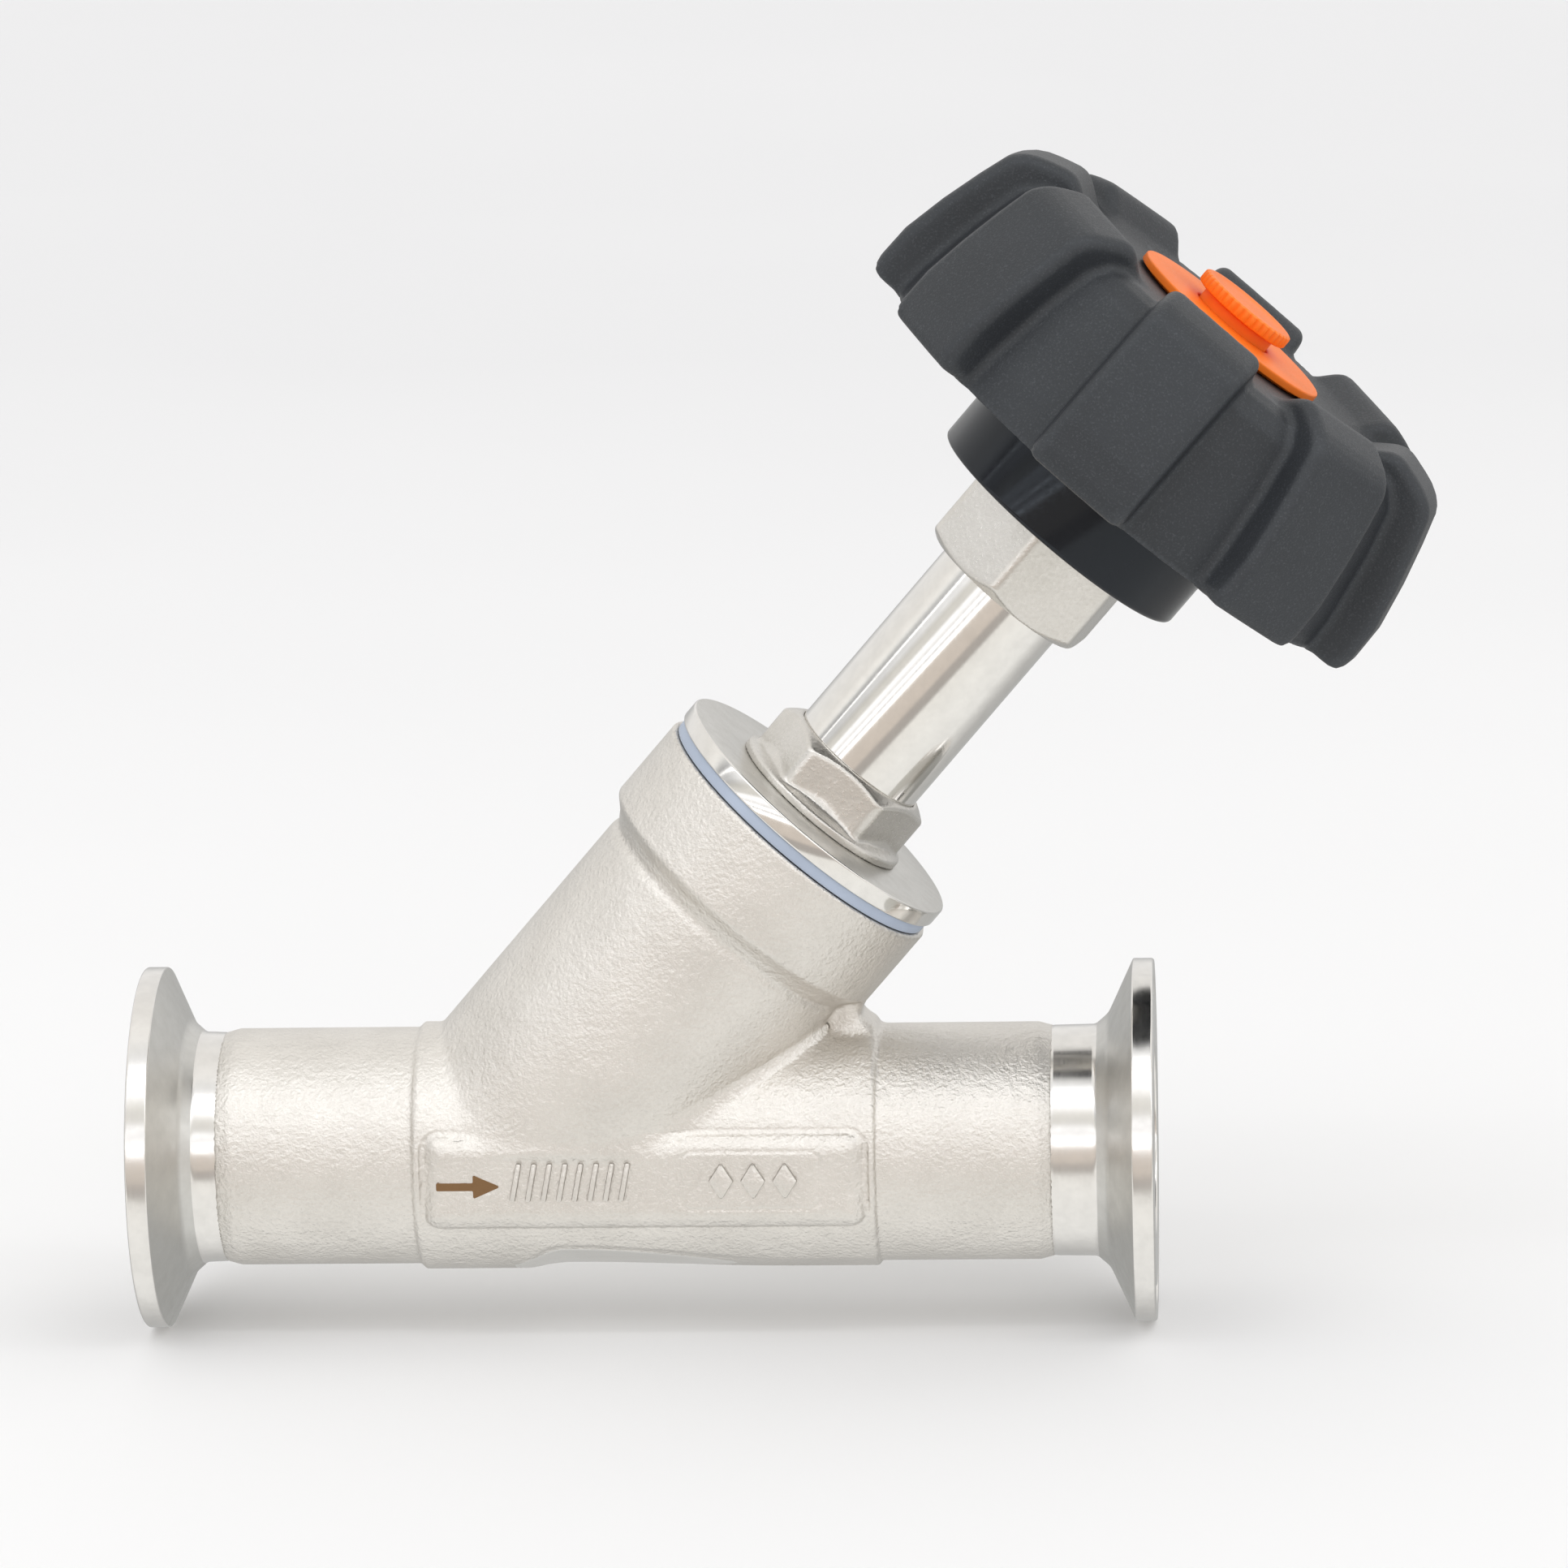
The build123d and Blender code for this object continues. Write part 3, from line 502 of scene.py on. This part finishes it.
# Towards its foot the neck is narrower across the pipe than along it, and it ends inside the pad
NECK_FOOT_Z, NECK_SQUASH, SQUASH_HEIGHTS = 3.0, 0.1, (3.0, 20.0)
LUG_SIDE = [(95.5, 14.5), (97.6, 22.0), (101.2, 20.4), (100.5, 19.1), (102.5, 17.2), (103.0, 14.5)]
LUG_HALF = 5.0


def gate_field(x, y, z):
    """Where the gate was ground away: a shallow flat that runs out along the pipe both ways."""
    deep = GATE_DEEP * step(x, GATE_X[0], GATE_X[1]) * (1 - step(x, GATE_X[2], GATE_X[3]))
    return -y * math.cos(GATE_TURN) - z * math.sin(GATE_TURN) - CENTRE_R - 0.05 + deep


def body_field(points):
    x, y, z = points.T
    aside = np.abs(y)
    front, across, height = to_bonnet(points).T
    out = np.hypot(y, z)
    bonnet_out = np.hypot(front, across)
    pipe = outline_field(x, out, PIPE_OUTLINE)
    for bead_x, high, wide in PIPE_BEADS:
        pipe = pipe - high * bell(x - bead_x, wide)
    squash = 1 - NECK_SQUASH * (1 - step(height, *SQUASH_HEIGHTS))
    groove = GROOVE_DEEP * bell(height - COLLAR_LOW + GROOVE_BELOW, GROOVE_WIDE)
    neck = (np.hypot(front / squash, across) - NECK_R) * squash + groove
    neck = both(np.maximum(neck, height - COLLAR_LOW - 1), NECK_FOOT_Z - z, 0.3)
    # The marking pad: a bevelled plate, with a faint sunk frame on the near side
    frame_line = np.abs(panel(x, z, SUNK_MIDDLE, SUNK_HALF, SUNK_CORNER))
    sunk = np.where(y < 0, SUNK_DEEP * bell(frame_line, SUNK_WIDE), 0)
    edge = panel(x, z, PAD_MIDDLE, PAD_HALF, PAD_CORNER)
    pad = both(edge, aside - PAD_Y + sunk, 0.2)
    bevel = (edge + BEVEL_IN) * BEVEL_DOWN + (aside - PAD_Y) * BEVEL_IN
    pad = both(pad, bevel / math.hypot(BEVEL_IN, BEVEL_DOWN), 0.7)
    # Round the plate the pipe's skin is sunk a little, so that the bevel runs down into a crease
    cut = either(bevel / math.hypot(BEVEL_IN, BEVEL_DOWN), 0.4 - edge, 0.2)
    pipe = both(pipe, np.minimum(cut, pipe + CREASE_DEEP), 0.15)
    solid = either(pipe, pad, 0.15)
    # A raised seam follows the crossing on the outlet side and swells into a rough lug at the collar
    swell = step(x, *SWELL_X)
    seam = between(SEAM_HIGH, swell) * bell(np.hypot(neck, pipe), between(SEAM_WIDE, swell))
    seam = seam * step(x, *SEAM_X) * step(z, *SEAM_Z)
    ripple = 0.07 * np.sin(2.3 * x + 1.7 * z) * np.sin(2.6 * y + 1)
    solid = either(solid, neck, between(NECK_FILLET, step(x, *FILLET_X))) - seam * (1 + 2 * ripple)
    lug = both(outline_field(x, z, LUG_SIDE), aside - LUG_HALF, 2.0) + ripple
    solid = either(solid, lug, 1.0)
    collar = outline_field(bonnet_out, height, COLLAR_OUTLINE)
    collar = both(both(collar, bonnet_out - COLLAR_R, 0.3), height - COLLAR_TOP, 0.5)
    solid = either(solid, collar, 0.9)
    gate = gate_field(x, y, z)
    rim = RIM_DEEP * bell(solid - gate, RIM_WIDE) * step(x, *RIM_X)
    return both(solid, gate, 0.1) + rim


def body_details(points):
    """Where the casting's skin needs smaller faces: the near pad, the gate flat, the seam and lug."""
    x, y, z = points.T
    turn = np.degrees(np.arctan2(z, -y))
    on_pad = (y < -14.5) & (z > -9) & (z < 6.6) & (x > 39.5) & (x < 103.4)
    on_gate = (turn > -98) & (turn < -28) & (x > 50) & (x < 94) & (np.hypot(y, z) > 15.5)
    by_lug = (x > 78) & (x < 104) & (z > 4) & (z < 24) & (y < 7) & (np.hypot(y, z) > 15.5)
    return on_pad | on_gate | by_lug


def at_neck_foot(points):
    """Where the neck's foot meets the pads at the inlet end, on both sides."""
    x, y, z = points.T
    return (x > 40.8) & (x < 52) & (z > 5.0) & (z < 12) & (np.abs(y) > 13.5)


def at_lug(points):
    x, y, z = points.T
    return (x > 93.5) & (x < 105) & (z > 14.8) & (z < 23) & (np.abs(y) < 8.5)


body_mesh = remeshed("valve_body", 0.42)
refined(body_mesh, body_details)
settle(body_mesh, body_field, 2.6)
softened(body_mesh, at_neck_foot, 10)
settle(body_mesh, body_field, 1.2)
softened(body_mesh, at_lug, 26)
casting = place("valve_body_casting", body_mesh, "root", [CAST, GROUND], ["valve_body"], 0)
middles = np.array([face.center for face in body_mesh.polygons]) / MM
on_flat = np.abs(gate_field(*middles.T)) < 0.12
on_flat &= (middles[:, 0] > GATE_X[0]) & (middles[:, 0] < GATE_X[3]) & (np.hypot(*middles[:, 1:].T) > 15.4)
body_mesh.polygons.foreach_set("material_index", on_flat.astype(np.int32))

# The flow arrow, marked on the near pad
ARROW = [(42.2, -0.95), (47.3, -0.95), (47.3, 0.2), (51.1, -1.5), (47.3, -3.2), (47.3, -2.05), (42.2, -2.05)]


def flat_plate(name, outline, low, high, material):
    """A flat outline of (x, z) points on the near side, between two distances from the middle plane."""
    count = len(outline)
    points = [(x, -depth, z) for depth in (high, low) for x, z in outline]
    mesh = bpy.data.meshes.new(name)
    top, bottom = list(range(count)), list(range(2 * count - 1, count - 1, -1))
    sides = [(k, (k + 1) % count, count + (k + 1) % count, count + k) for k in range(count)]
    mesh.from_pydata((np.array(points) * MM).tolist(), [], [top, bottom, *sides])
    shape = bmesh.new()
    shape.from_mesh(mesh)
    bmesh.ops.triangulate(shape, faces=shape.faces)
    bmesh.ops.recalc_face_normals(shape, faces=shape.faces)
    shape.to_mesh(mesh)
    shape.free()
    return place(name, mesh, "root", [material])


flat_plate("flow_arrow", rounded(ARROW, 0.18, 3), PAD_Y - 0.2, PAD_Y + 0.05, MARK)


BARS, BAR_FIRST, BAR_PITCH, BAR_HALF, BAR_LEAN = 8, 53.2, 2.15, 0.42, 0.55
LOZENGES, LOZENGE_FIRST, LOZENGE_PITCH, LOZENGE_HALF = 3, 81.6, 4.4, 1.75
# The marks' section, from below the pad's face to their tops: distance out from it and inset
MARK_ROWS = ((-0.3, 0.0), (0.02, 0.0), (0.48, 0.1), (0.58, 0.24))
MARK_ROUND = 0.3


def mark_outlines():
    """Plain leaning bars and lozenges where the casting carries its marks."""
    shapes = []
    for number in range(BARS):
        middle = BAR_FIRST + BAR_PITCH * number
        corners = [(-BAR_HALF, -1), (BAR_HALF, -1), (BAR_HALF, 1), (-BAR_HALF, 1)]
        shapes.append([(middle + dx + BAR_LEAN * dz, MARK_Z + MARK_HIGH * dz) for dx, dz in corners])
    for number in range(LOZENGES):
        middle = LOZENGE_FIRST + LOZENGE_PITCH * number
        corners = [(0, -1), (1, 0), (0, 1), (-1, 0)]
        shapes.append([(middle + LOZENGE_HALF * dx, MARK_Z + MARK_HIGH * dz) for dx, dz in corners])
    return shapes


def drawn_in(outline, amount):
    """A counter-clockwise outline with every point moved inwards."""
    corners = np.array(outline)
    along = np.roll(corners, -1, 0) - np.roll(corners, 1, 0)
    along /= np.linalg.norm(along, axis=1)[:, None]
    return corners + amount * np.stack([-along[:, 1], along[:, 0]], 1)


def raised_marks():
    """Low solids with sloping sides that stand on the near pad."""
    points, faces = [], []
    for outline in mark_outlines():
        foot = rounded(outline, MARK_ROUND, 3)
        rows = [(PAD_Y + out, inset) for out, inset in MARK_ROWS]
        start, count = len(points), len(foot)
        for depth, inset in rows:
            points += [(x, -depth, z) for x, z in drawn_in(foot, inset)]
        faces.append(tuple(range(start + count - 1, start - 1, -1)))
        for row in range(len(rows) - 1):
            low = start + row * count
            for k in range(count):
                right = (k + 1) % count
                faces.append((low + k, low + right, low + count + right, low + count + k))
        top = start + (len(rows) - 1) * count
        faces.append(tuple(range(top, top + count)))
    mesh = bpy.data.meshes.new("casting_marks")
    mesh.from_pydata((np.array(points) * MM).tolist(), [], faces)
    outward(mesh)
    place("casting_marks", mesh, "root", [CAST, SHADED], (), 40)
    # The sloping sides take the darker copy of the cast steel: painted shade along the marks.
    for face in mesh.polygons:
        face.material_index = 1 if abs(face.normal.y) < 0.8 else 0


raised_marks()

# --- Clamp ferrules -------------------------------------------------------------------------------
FERRULE_OUTLINE = [
    (13.5, 0), (20.35, 0), (20.75, 0.98), (21.8, 1.45), (22.85, 0.98), (23.25, 0), (25.25, 0),
    (25.25, 2.9), (17.7, 6.4), (16.15, 8.2), (16.05, 11.0), (15.9, 11.6), (13.5, 11.6),
]
FERRULE_ROUNDS = [0.3, 0.3, 0.8, 1.2, 0.8, 0.3, 0.4, 0.3, 3.2, 1.2, 0.3, 0.1, 0.1]
# The cone behind the flange is satin, the rest polished
SATIN_HEIGHTS, SATIN_R = (3.3, 8.0), 24.8
# Points of the outline above this height belong to the tube's end, which each ferrule sets for itself
TUBE_FROM, TUBE_END = 10, 11.2


def ferrule(name, node, face_x, inward, tube_long):
    stretch = [(r, h if h < TUBE_FROM else tube_long + h - TUBE_END) for r, h in FERRULE_OUTLINE]
    outline = rounded(stretch, FERRULE_ROUNDS, 6)
    piece = turned(
        name, outline, lambda f, a, h: about_pipe(f, a, face_x + inward * h), "root",
        [POLISHED_PIPE, SATIN_PIPE], [node],
    )
    for face in piece.data.polygons:
        centre = face.center / MM
        out, high = math.hypot(centre.y, centre.z), abs(centre.x - face_x)
        satin = SATIN_HEIGHTS[0] < high < SATIN_HEIGHTS[1] and out < SATIN_R
        face.material_index = 1 if satin else 0
    return piece


ferrule("inlet_clamp_ferrule", "inlet_ferrule", 0.0, 1, 11.2)
ferrule("outlet_clamp_ferrule", "outlet_ferrule", 141.2, -1, 14.1)

# --- Bonnet cover, gasket and neck tube -----------------------------------------------------------
COVER_LOW, COVER_TOP = 61.05, 63.65
GASKET_OUTLINE = [(16.66, COLLAR_TOP), (21.9, COLLAR_TOP), (21.9, COVER_LOW), (16.66, COVER_LOW)]
COVER_OUTLINE = [
    (9.9, 50.0), (16.54, 50.0), (16.54, COVER_LOW), (22.35, COVER_LOW), (22.35, COVER_TOP), (9.9, COVER_TOP),
]
COVER_ROUNDS = [0.2, 0.4, 0.1, 0.3, 0.3, 0.2]
TUBE_OUTLINE = [(7.9, 50.5), (9.84, 50.5), (9.84, 113.8), (7.9, 113.8)]
turned(
    "cover_gasket_ring", rounded(GASKET_OUTLINE, 0.15), about_bonnet, "root", [RUBBER],
    ["cover_gasket"],
)
cover = turned(
    "bonnet_cover_plate", rounded(COVER_OUTLINE, COVER_ROUNDS), about_bonnet, "root",
    [POLISHED_BONNET, SATIN_BONNET], ["bonnet_cover"],
)
for face in cover.data.polygons:
    if Vector(face.normal) @ Vector(UP) > 0.98:
        face.material_index = 1
turned(
    "neck_tube_polished", rounded(TUBE_OUTLINE, 0.2), about_bonnet, "root",
    [POLISHED_BONNET], ["neck_tube"],
)

# --- Nuts -----------------------------------------------------------------------------------------
NUT_FLANGE = [(-5, 63.0), (13.5, 63.0), (13.5, 64.7), (12.6, 65.1), (11.5, 65.6), (10.6, 66.8), (-5, 66.8)]
NUT_CAP = [(-5, 60), (14.5, 60), (14.5, 69.6), (10.4, 72.2), (-5, 72.2)]


LOCKNUT_FLATS, LOCKNUT_TURN, LOCKNUT_CORNER, LOCKNUT_FLANGE_R = 22.0, -3.7, 0.9, 13.5
NUT_EDGE = 0.35


def locknut_field(points):
    front, across, height = to_bonnet(points).T
    out = np.hypot(front, across)
    prism = hexagon(front, across, LOCKNUT_FLATS, LOCKNUT_TURN, LOCKNUT_CORNER)
    prism = both(prism, outline_field(out, height, NUT_CAP), NUT_EDGE)
    flange = outline_field(out, height, NUT_FLANGE)
    flange = both(flange, out - LOCKNUT_FLANGE_R, NUT_EDGE)
    return both(either(prism, flange, 0.4), COVER_TOP - height, 0.15)


nut_mesh = remeshed("neck_locknut", 0.26)
settle(nut_mesh, locknut_field, 1.0)
place("neck_locknut_hex", nut_mesh, "root", [NUT_CAST], ["neck_locknut"], smooth_angle=0)


UNION_FLATS, UNION_TURN, UNION_CORNER = 24.6, 19.3, 0.8
UNION_ENDS = [(-5, 103.2), (12.0, 103.2), (14.6, 105.0), (14.6, 116.4), (-5, 116.4)]


def union_field(points):
    front, across, height = to_bonnet(points).T
    out = np.hypot(front, across)
    prism = hexagon(front, across, UNION_FLATS, UNION_TURN, UNION_CORNER)
    return both(prism, outline_field(out, height, UNION_ENDS), NUT_EDGE)


union_mesh = remeshed("union_nut", 0.3)
settle(union_mesh, union_field, 0.9)
place("union_nut_hex", union_mesh, "root", [NUT_CAST], ["union_nut"], smooth_angle=0)

# --- Drive housing --------------------------------------------------------------------------------
HOUSING_OUTLINE = [
    (11.56, 116.4), (14.6, 116.4), (14.6, 114.7), (20.05, 114.7), (20.05, 133.0), (17.66, 133.0),
    (17.66, 131.0), (16.5, 131.0), (16.5, 120.0), (11.56, 120.0),
]
HOUSING_ROUNDS = [0.1, 0.1, 0.2, 0.7, 0.4, 0.2, 0.05, 0.1, 0.3, 0.1]
turned(
    "drive_housing_shell", rounded(HOUSING_OUTLINE, HOUSING_ROUNDS), about_bonnet, "root",
    [GLOSS], ["drive_housing"],
)

# --- Handwheel ------------------------------------------------------------------------------------
LOBES, LOBE_TURN, LOBE_HALF = 8, -7.8, 7.9
WHEEL_LOW, DECK = 125.4, 150.3
LOBE_OUTLINE = [
    (20.0, WHEEL_LOW), (39.4, WHEEL_LOW), (40.6, 125.5), (41.6, 126.0), (42.2, 126.8), (42.45, 128.2),
    (42.3, 133.2), (40.95, 139.6), (39.35, 145.4), (38.0, 149.6), (37.4, 150.6), (36.3, 151.6),
    (34.9, 152.4), (33.2, 153.0), (31.5, 153.5), (30.3, 153.8), (29.3, 153.85), (28.4, 153.6),
    (27.5, 153.1), (26.0, 152.0), (24.7, 151.0), (23.3, 150.3), (20.0, 149.0),
]
RIM_OUTLINE = [
    (-5, WHEEL_LOW), (37.6, WHEEL_LOW), (37.3, 131.0), (35.6, 141.0), (33.9, 147.4), (31.9, 149.6),
    (29.4, DECK + 0.15), (16.5, DECK), (-5, DECK),
]


# The lobe's face is a little flatter than a circle, its sides are rounded and filleted into the rim
LOBE_FLATTER, LOBE_ROUND, LOBE_FILLET = 0.004, 1.7, 1.1
PARTING_DEEP, PARTING_UP, PARTING_WIDE, LOW_ROUND = 0.12, 1.3, 0.22, 0.9


def wheel_field(points):
    front, across, height = to_bonnet(points).T
    out = np.hypot(front, across)
    pitch = 2 * math.pi / LOBES
    turn = np.arctan2(across, front) - math.radians(LOBE_TURN)
    turn = (turn + pitch / 2) % pitch - pitch / 2
    reach, side = out * np.cos(turn), out * np.sin(turn)
    lobe = outline_field(reach + LOBE_FLATTER * side * side, height, LOBE_OUTLINE)
    lobe = both(lobe, np.abs(side) - LOBE_HALF, LOBE_ROUND)
    rim = outline_field(out, height, RIM_OUTLINE)
    solid = either(lobe, rim, LOBE_FILLET)
    parting = PARTING_DEEP * bell(height - WHEEL_LOW - PARTING_UP, PARTING_WIDE)
    return both(solid + parting, WHEEL_LOW - height, LOW_ROUND)


wheel_mesh = remeshed("handwheel", 0.5)
settle(wheel_mesh, wheel_field, 1.6)
place("handwheel_grip", wheel_mesh, "handwheel", [MATTE], ["handwheel"], smooth_angle=0)

# --- Indicator ------------------------------------------------------------------------------------
DISC_OUTLINE = [
    (6.2, 150.3), (10.6, 150.3), (10.6, 148.4), (11.94, 148.4), (11.94, 150.34), (13.8, 150.34),
    (13.8, 150.75), (15.2, 150.75), (15.2, 151.9), (6.2, 151.9),
]
DISC_ROUNDS = [0.1, 0.1, 0.1, 0.1, 0.1, 0.1, 0.1, 0.15, 0.28, 0.25]
turned(
    "indicator_disc", rounded(DISC_OUTLINE, DISC_ROUNDS), about_bonnet, "handwheel", [ORANGE],
    ["indicator_cover"],
)
KNOB_TEETH, KNOB_R, TOOTH_DEEP, POINTS_PER_TOOTH = 40, 7.46, 0.3, 8
SOCKET_R, SOCKET_TOP = 3.1, 153.1
# The knob's section as (radius, height, share of the tooth's depth)
KNOB_ROWS = [
    (SOCKET_R, 150.4, 0), (5.7, 150.4, 0), (5.85, 150.6, 0), (5.85, 153.3, 0), (6.1, 153.5, 0),
    (7.0, 153.5, 0), (7.32, 153.62, 0.6), (KNOB_R, 153.85, 1), (KNOB_R, 154.95, 1),
    (7.38, 155.2, 0.8), (7.05, 155.38, 0.2), (6.6, 155.4, 0), (6.2, 155.4, 0), (5.9, 155.28, 0),
    (3.0, 155.28, 0), (0.4, 155.28, 0),
]


def knob():
    """A flat serrated button on a short neck, closed at the top with a shallow dish."""
    segments = KNOB_TEETH * POINTS_PER_TOOTH
    points = []
    for radius, height, cut in KNOB_ROWS:
        for k in range(segments):
            tooth = (1 - math.cos(2 * math.pi * k / POINTS_PER_TOOTH)) / 2
            r = radius - TOOTH_DEEP * cut * tooth**2
            angle = 2 * math.pi * k / segments
            points.append((r * math.cos(angle), r * math.sin(angle), height))
    faces = []
    for i in range(len(KNOB_ROWS) - 1):
        for k in range(segments):
            right = (k + 1) % segments
            a, b = i * segments, (i + 1) * segments
            faces.append((a + k, a + right, b + right, b + k))
    last = (len(KNOB_ROWS) - 1) * segments
    faces.append(tuple(range(last, last + segments)))
    # The socket underneath, which takes the stem's tip
    inner = len(points)
    for k in range(segments):
        angle = 2 * math.pi * k / segments
        points.append((SOCKET_R * math.cos(angle), SOCKET_R * math.sin(angle), SOCKET_TOP))
    for k in range(segments):
        right = (k + 1) % segments
        faces.append((right, k, inner + k, inner + right))
    faces.append(tuple(range(inner + segments - 1, inner - 1, -1)))
    mesh = bpy.data.meshes.new("indicator_knob_serrated")
    mesh.from_pydata((from_bonnet(np.array(points)) * MM).tolist(), [], faces)
    outward(mesh)
    return place("indicator_knob_serrated", mesh, "stem", [ORANGE], ["indicator_knob"], 35)


knob()

# --- Floor, light and camera ----------------------------------------------------------------------
FLOOR_Z = -25.25
FLOOR_HALF = 12000.0
floor_mesh = bpy.data.meshes.new("floor")
corners = [(-1, -1), (1, -1), (1, 1), (-1, 1)]
floor_mesh.from_pydata([(a * FLOOR_HALF * MM, b * FLOOR_HALF * MM, FLOOR_Z * MM) for a, b in corners], [],
                       [(0, 1, 2, 3)])
floor = bpy.data.objects.new("floor", floor_mesh)
bpy.context.scene.collection.objects.link(floor)
paper = Nodes("floor_paper")
# The paper is palest at the front and darker further away: painted shade, with a faint random mottle on top.
apart = paper.tree.nodes.new("ShaderNodeSeparateXYZ")
paper.put(apart.inputs["Vector"], paper.space)
mottle = paper.ranged(paper.noise(260.0), 0.3, 0.7, -0.06, 0.06)
painted_shade_and_mottle = paper.sum(paper.ranged(apart.outputs["Y"], 0.0, 0.9), mottle)
paper.set(Base_Color=paper.mixed(painted_shade_and_mottle, (0.895, 0.90, 0.91), (0.765, 0.77, 0.785)), Roughness=0.7)
paper.shader.inputs["Specular IOR Level"].default_value = 0.2
floor_mesh.materials.append(paper.material)
floor.visible_glossy = False

# The studio: what the steel mirrors, as soft bands by height angle about the pipe's direction.
# Each stop is the angle in degrees from the camera's side over the top, and the light's colour.
BANDS = [
    (-180, (0.55, 0.55, 0.545)), (-150, (0.50, 0.50, 0.49)), (-130, (0.56, 0.555, 0.545)),
    (-112, (0.74, 0.735, 0.72)), (-92, (0.98, 0.975, 0.955)), (-45, (1.04, 1.03, 1.00)),
    (-21, (1.02, 1.00, 0.96)), (-19, (0.50, 0.47, 0.44)), (-11, (0.52, 0.48, 0.45)), (-9, (0.76, 0.68, 0.61)),
    (7, (0.78, 0.70, 0.63)), (8.6, (2.5, 2.5, 2.54)), (10.4, (2.5, 2.5, 2.54)), (11.6, (0.78, 0.76, 0.76)),
    (14, (0.80, 0.78, 0.77)), (15, (2.3, 2.3, 2.34)), (16.6, (2.3, 2.3, 2.34)), (17.8, (0.82, 0.80, 0.79)),
    (23, (1.4, 1.4, 1.42)), (27, (1.4, 1.4, 1.42)), (29, (0.80, 0.78, 0.74)), (40, (0.92, 0.90, 0.85)),
    (49, (1.6, 1.6, 1.62)), (60, (1.6, 1.6, 1.62)), (61, (4.2, 4.2, 4.22)), (63, (4.2, 4.2, 4.22)),
    (65, (1.1, 1.1, 1.12)), (76, (0.93, 0.93, 0.92)), (90, (1.08, 1.06, 1.03)), (112, (0.95, 0.93, 0.90)),
    (165, (0.95, 0.94, 0.93)), (180, (0.55, 0.55, 0.545)),
]
world = bpy.data.worlds.new("studio")
bpy.context.scene.world = world
world.use_nodes = True
tree = world.node_tree
tree.nodes.clear()


def world_node(kind, **inputs):
    made = tree.nodes.new(kind)
    for key, value in inputs.items():
        target = made.inputs[int(key[1:])] if key[0] == "i" and key[1:].isdigit() else made.inputs[key]
        if isinstance(value, bpy.types.NodeSocket):
            tree.links.new(value, target)
        else:
            target.default_value = value
    return made


def world_math(kind, first, second=0.0):
    made = world_node("ShaderNodeMath", i0=first, i1=second)
    made.operation = kind
    return made.outputs[0]


direction = world_node("ShaderNodeTexCoord").outputs["Generated"]
parts = world_node("ShaderNodeSeparateXYZ", Vector=direction).outputs
toward = world_math("MULTIPLY", parts["Y"], -1.0)
angle = world_math("ARCTAN2", parts["Z"], toward)
share = world_math("ADD", world_math("DIVIDE", angle, 2 * math.pi), 0.5)
LIGHT_TOP = 4.3
ramp_node = world_node("ShaderNodeValToRGB", Fac=share)
ramp = ramp_node.color_ramp
ramp.interpolation = "LINEAR"
while len(ramp.elements) > 1:
    ramp.elements.remove(ramp.elements[-1])
for number, (degrees, colour) in enumerate(BANDS):
    place_at = (degrees + 180) / 360
    stop = ramp.elements[0] if number == 0 else ramp.elements.new(place_at)
    stop.position = place_at
    stop.color = (*[c / LIGHT_TOP for c in colour], 1)
# The high band weakens towards the inlet end.
HIGH_BAND, BAND_REACH, BAND_LOSS = math.radians(57.0), (0.2, 0.42), 0.56
off_band = world_math("ABSOLUTE", world_math("SUBTRACT", angle, HIGH_BAND))
in_band = world_node("ShaderNodeMapRange", Value=off_band)
to_inlet = world_node("ShaderNodeMapRange", Value=parts["X"])
for made, low, high in ((in_band, *BAND_REACH), (to_inlet, -0.86, -0.5)):
    made.inputs["From Min"].default_value = low
    made.inputs["From Max"].default_value = high
    made.inputs["To Min"].default_value = 1.0
    made.inputs["To Max"].default_value = 0.0
loss = world_math("MULTIPLY", in_band.outputs["Result"], to_inlet.outputs["Result"])
kept = world_math("SUBTRACT", 1.0, world_math("MULTIPLY", loss, BAND_LOSS))
power = world_math("MULTIPLY", kept, LIGHT_TOP)
studio = world_node("ShaderNodeBackground", Color=ramp_node.outputs["Color"], Strength=power)
plain = world_node("ShaderNodeBackground", Color=(0.90, 0.90, 0.915, 1), Strength=1.0)
seen = world_node("ShaderNodeLightPath").outputs["Is Camera Ray"]
mix = world_node("ShaderNodeMixShader", i0=seen, i1=studio.outputs[0], i2=plain.outputs[0])
world_node("ShaderNodeOutputWorld", Surface=mix.outputs[0])

CAMERA_AT = Vector((0.15848, -1.09781, 0.27893))
CAMERA_AIM = Vector((0.09045, 0.0, 0.05107))
CAMERA_ROLL = math.radians(1.3284)
CAMERA_LENS = 186.32
camera_data = bpy.data.cameras.new("camera")
camera_data.lens = CAMERA_LENS
camera_data.sensor_width = 36.0
camera_data.clip_start, camera_data.clip_end = 0.05, 60.0
camera = bpy.data.objects.new("camera", camera_data)
bpy.context.scene.collection.objects.link(camera)
aim = (CAMERA_AIM - CAMERA_AT).to_track_quat("-Z", "Y").to_matrix().to_4x4()
camera.matrix_world = Matrix.Translation(CAMERA_AT) @ aim @ Matrix.Rotation(-CAMERA_ROLL, 4, "Z")
bpy.context.scene.camera = camera
bpy.context.scene.view_settings.view_transform = "Standard"
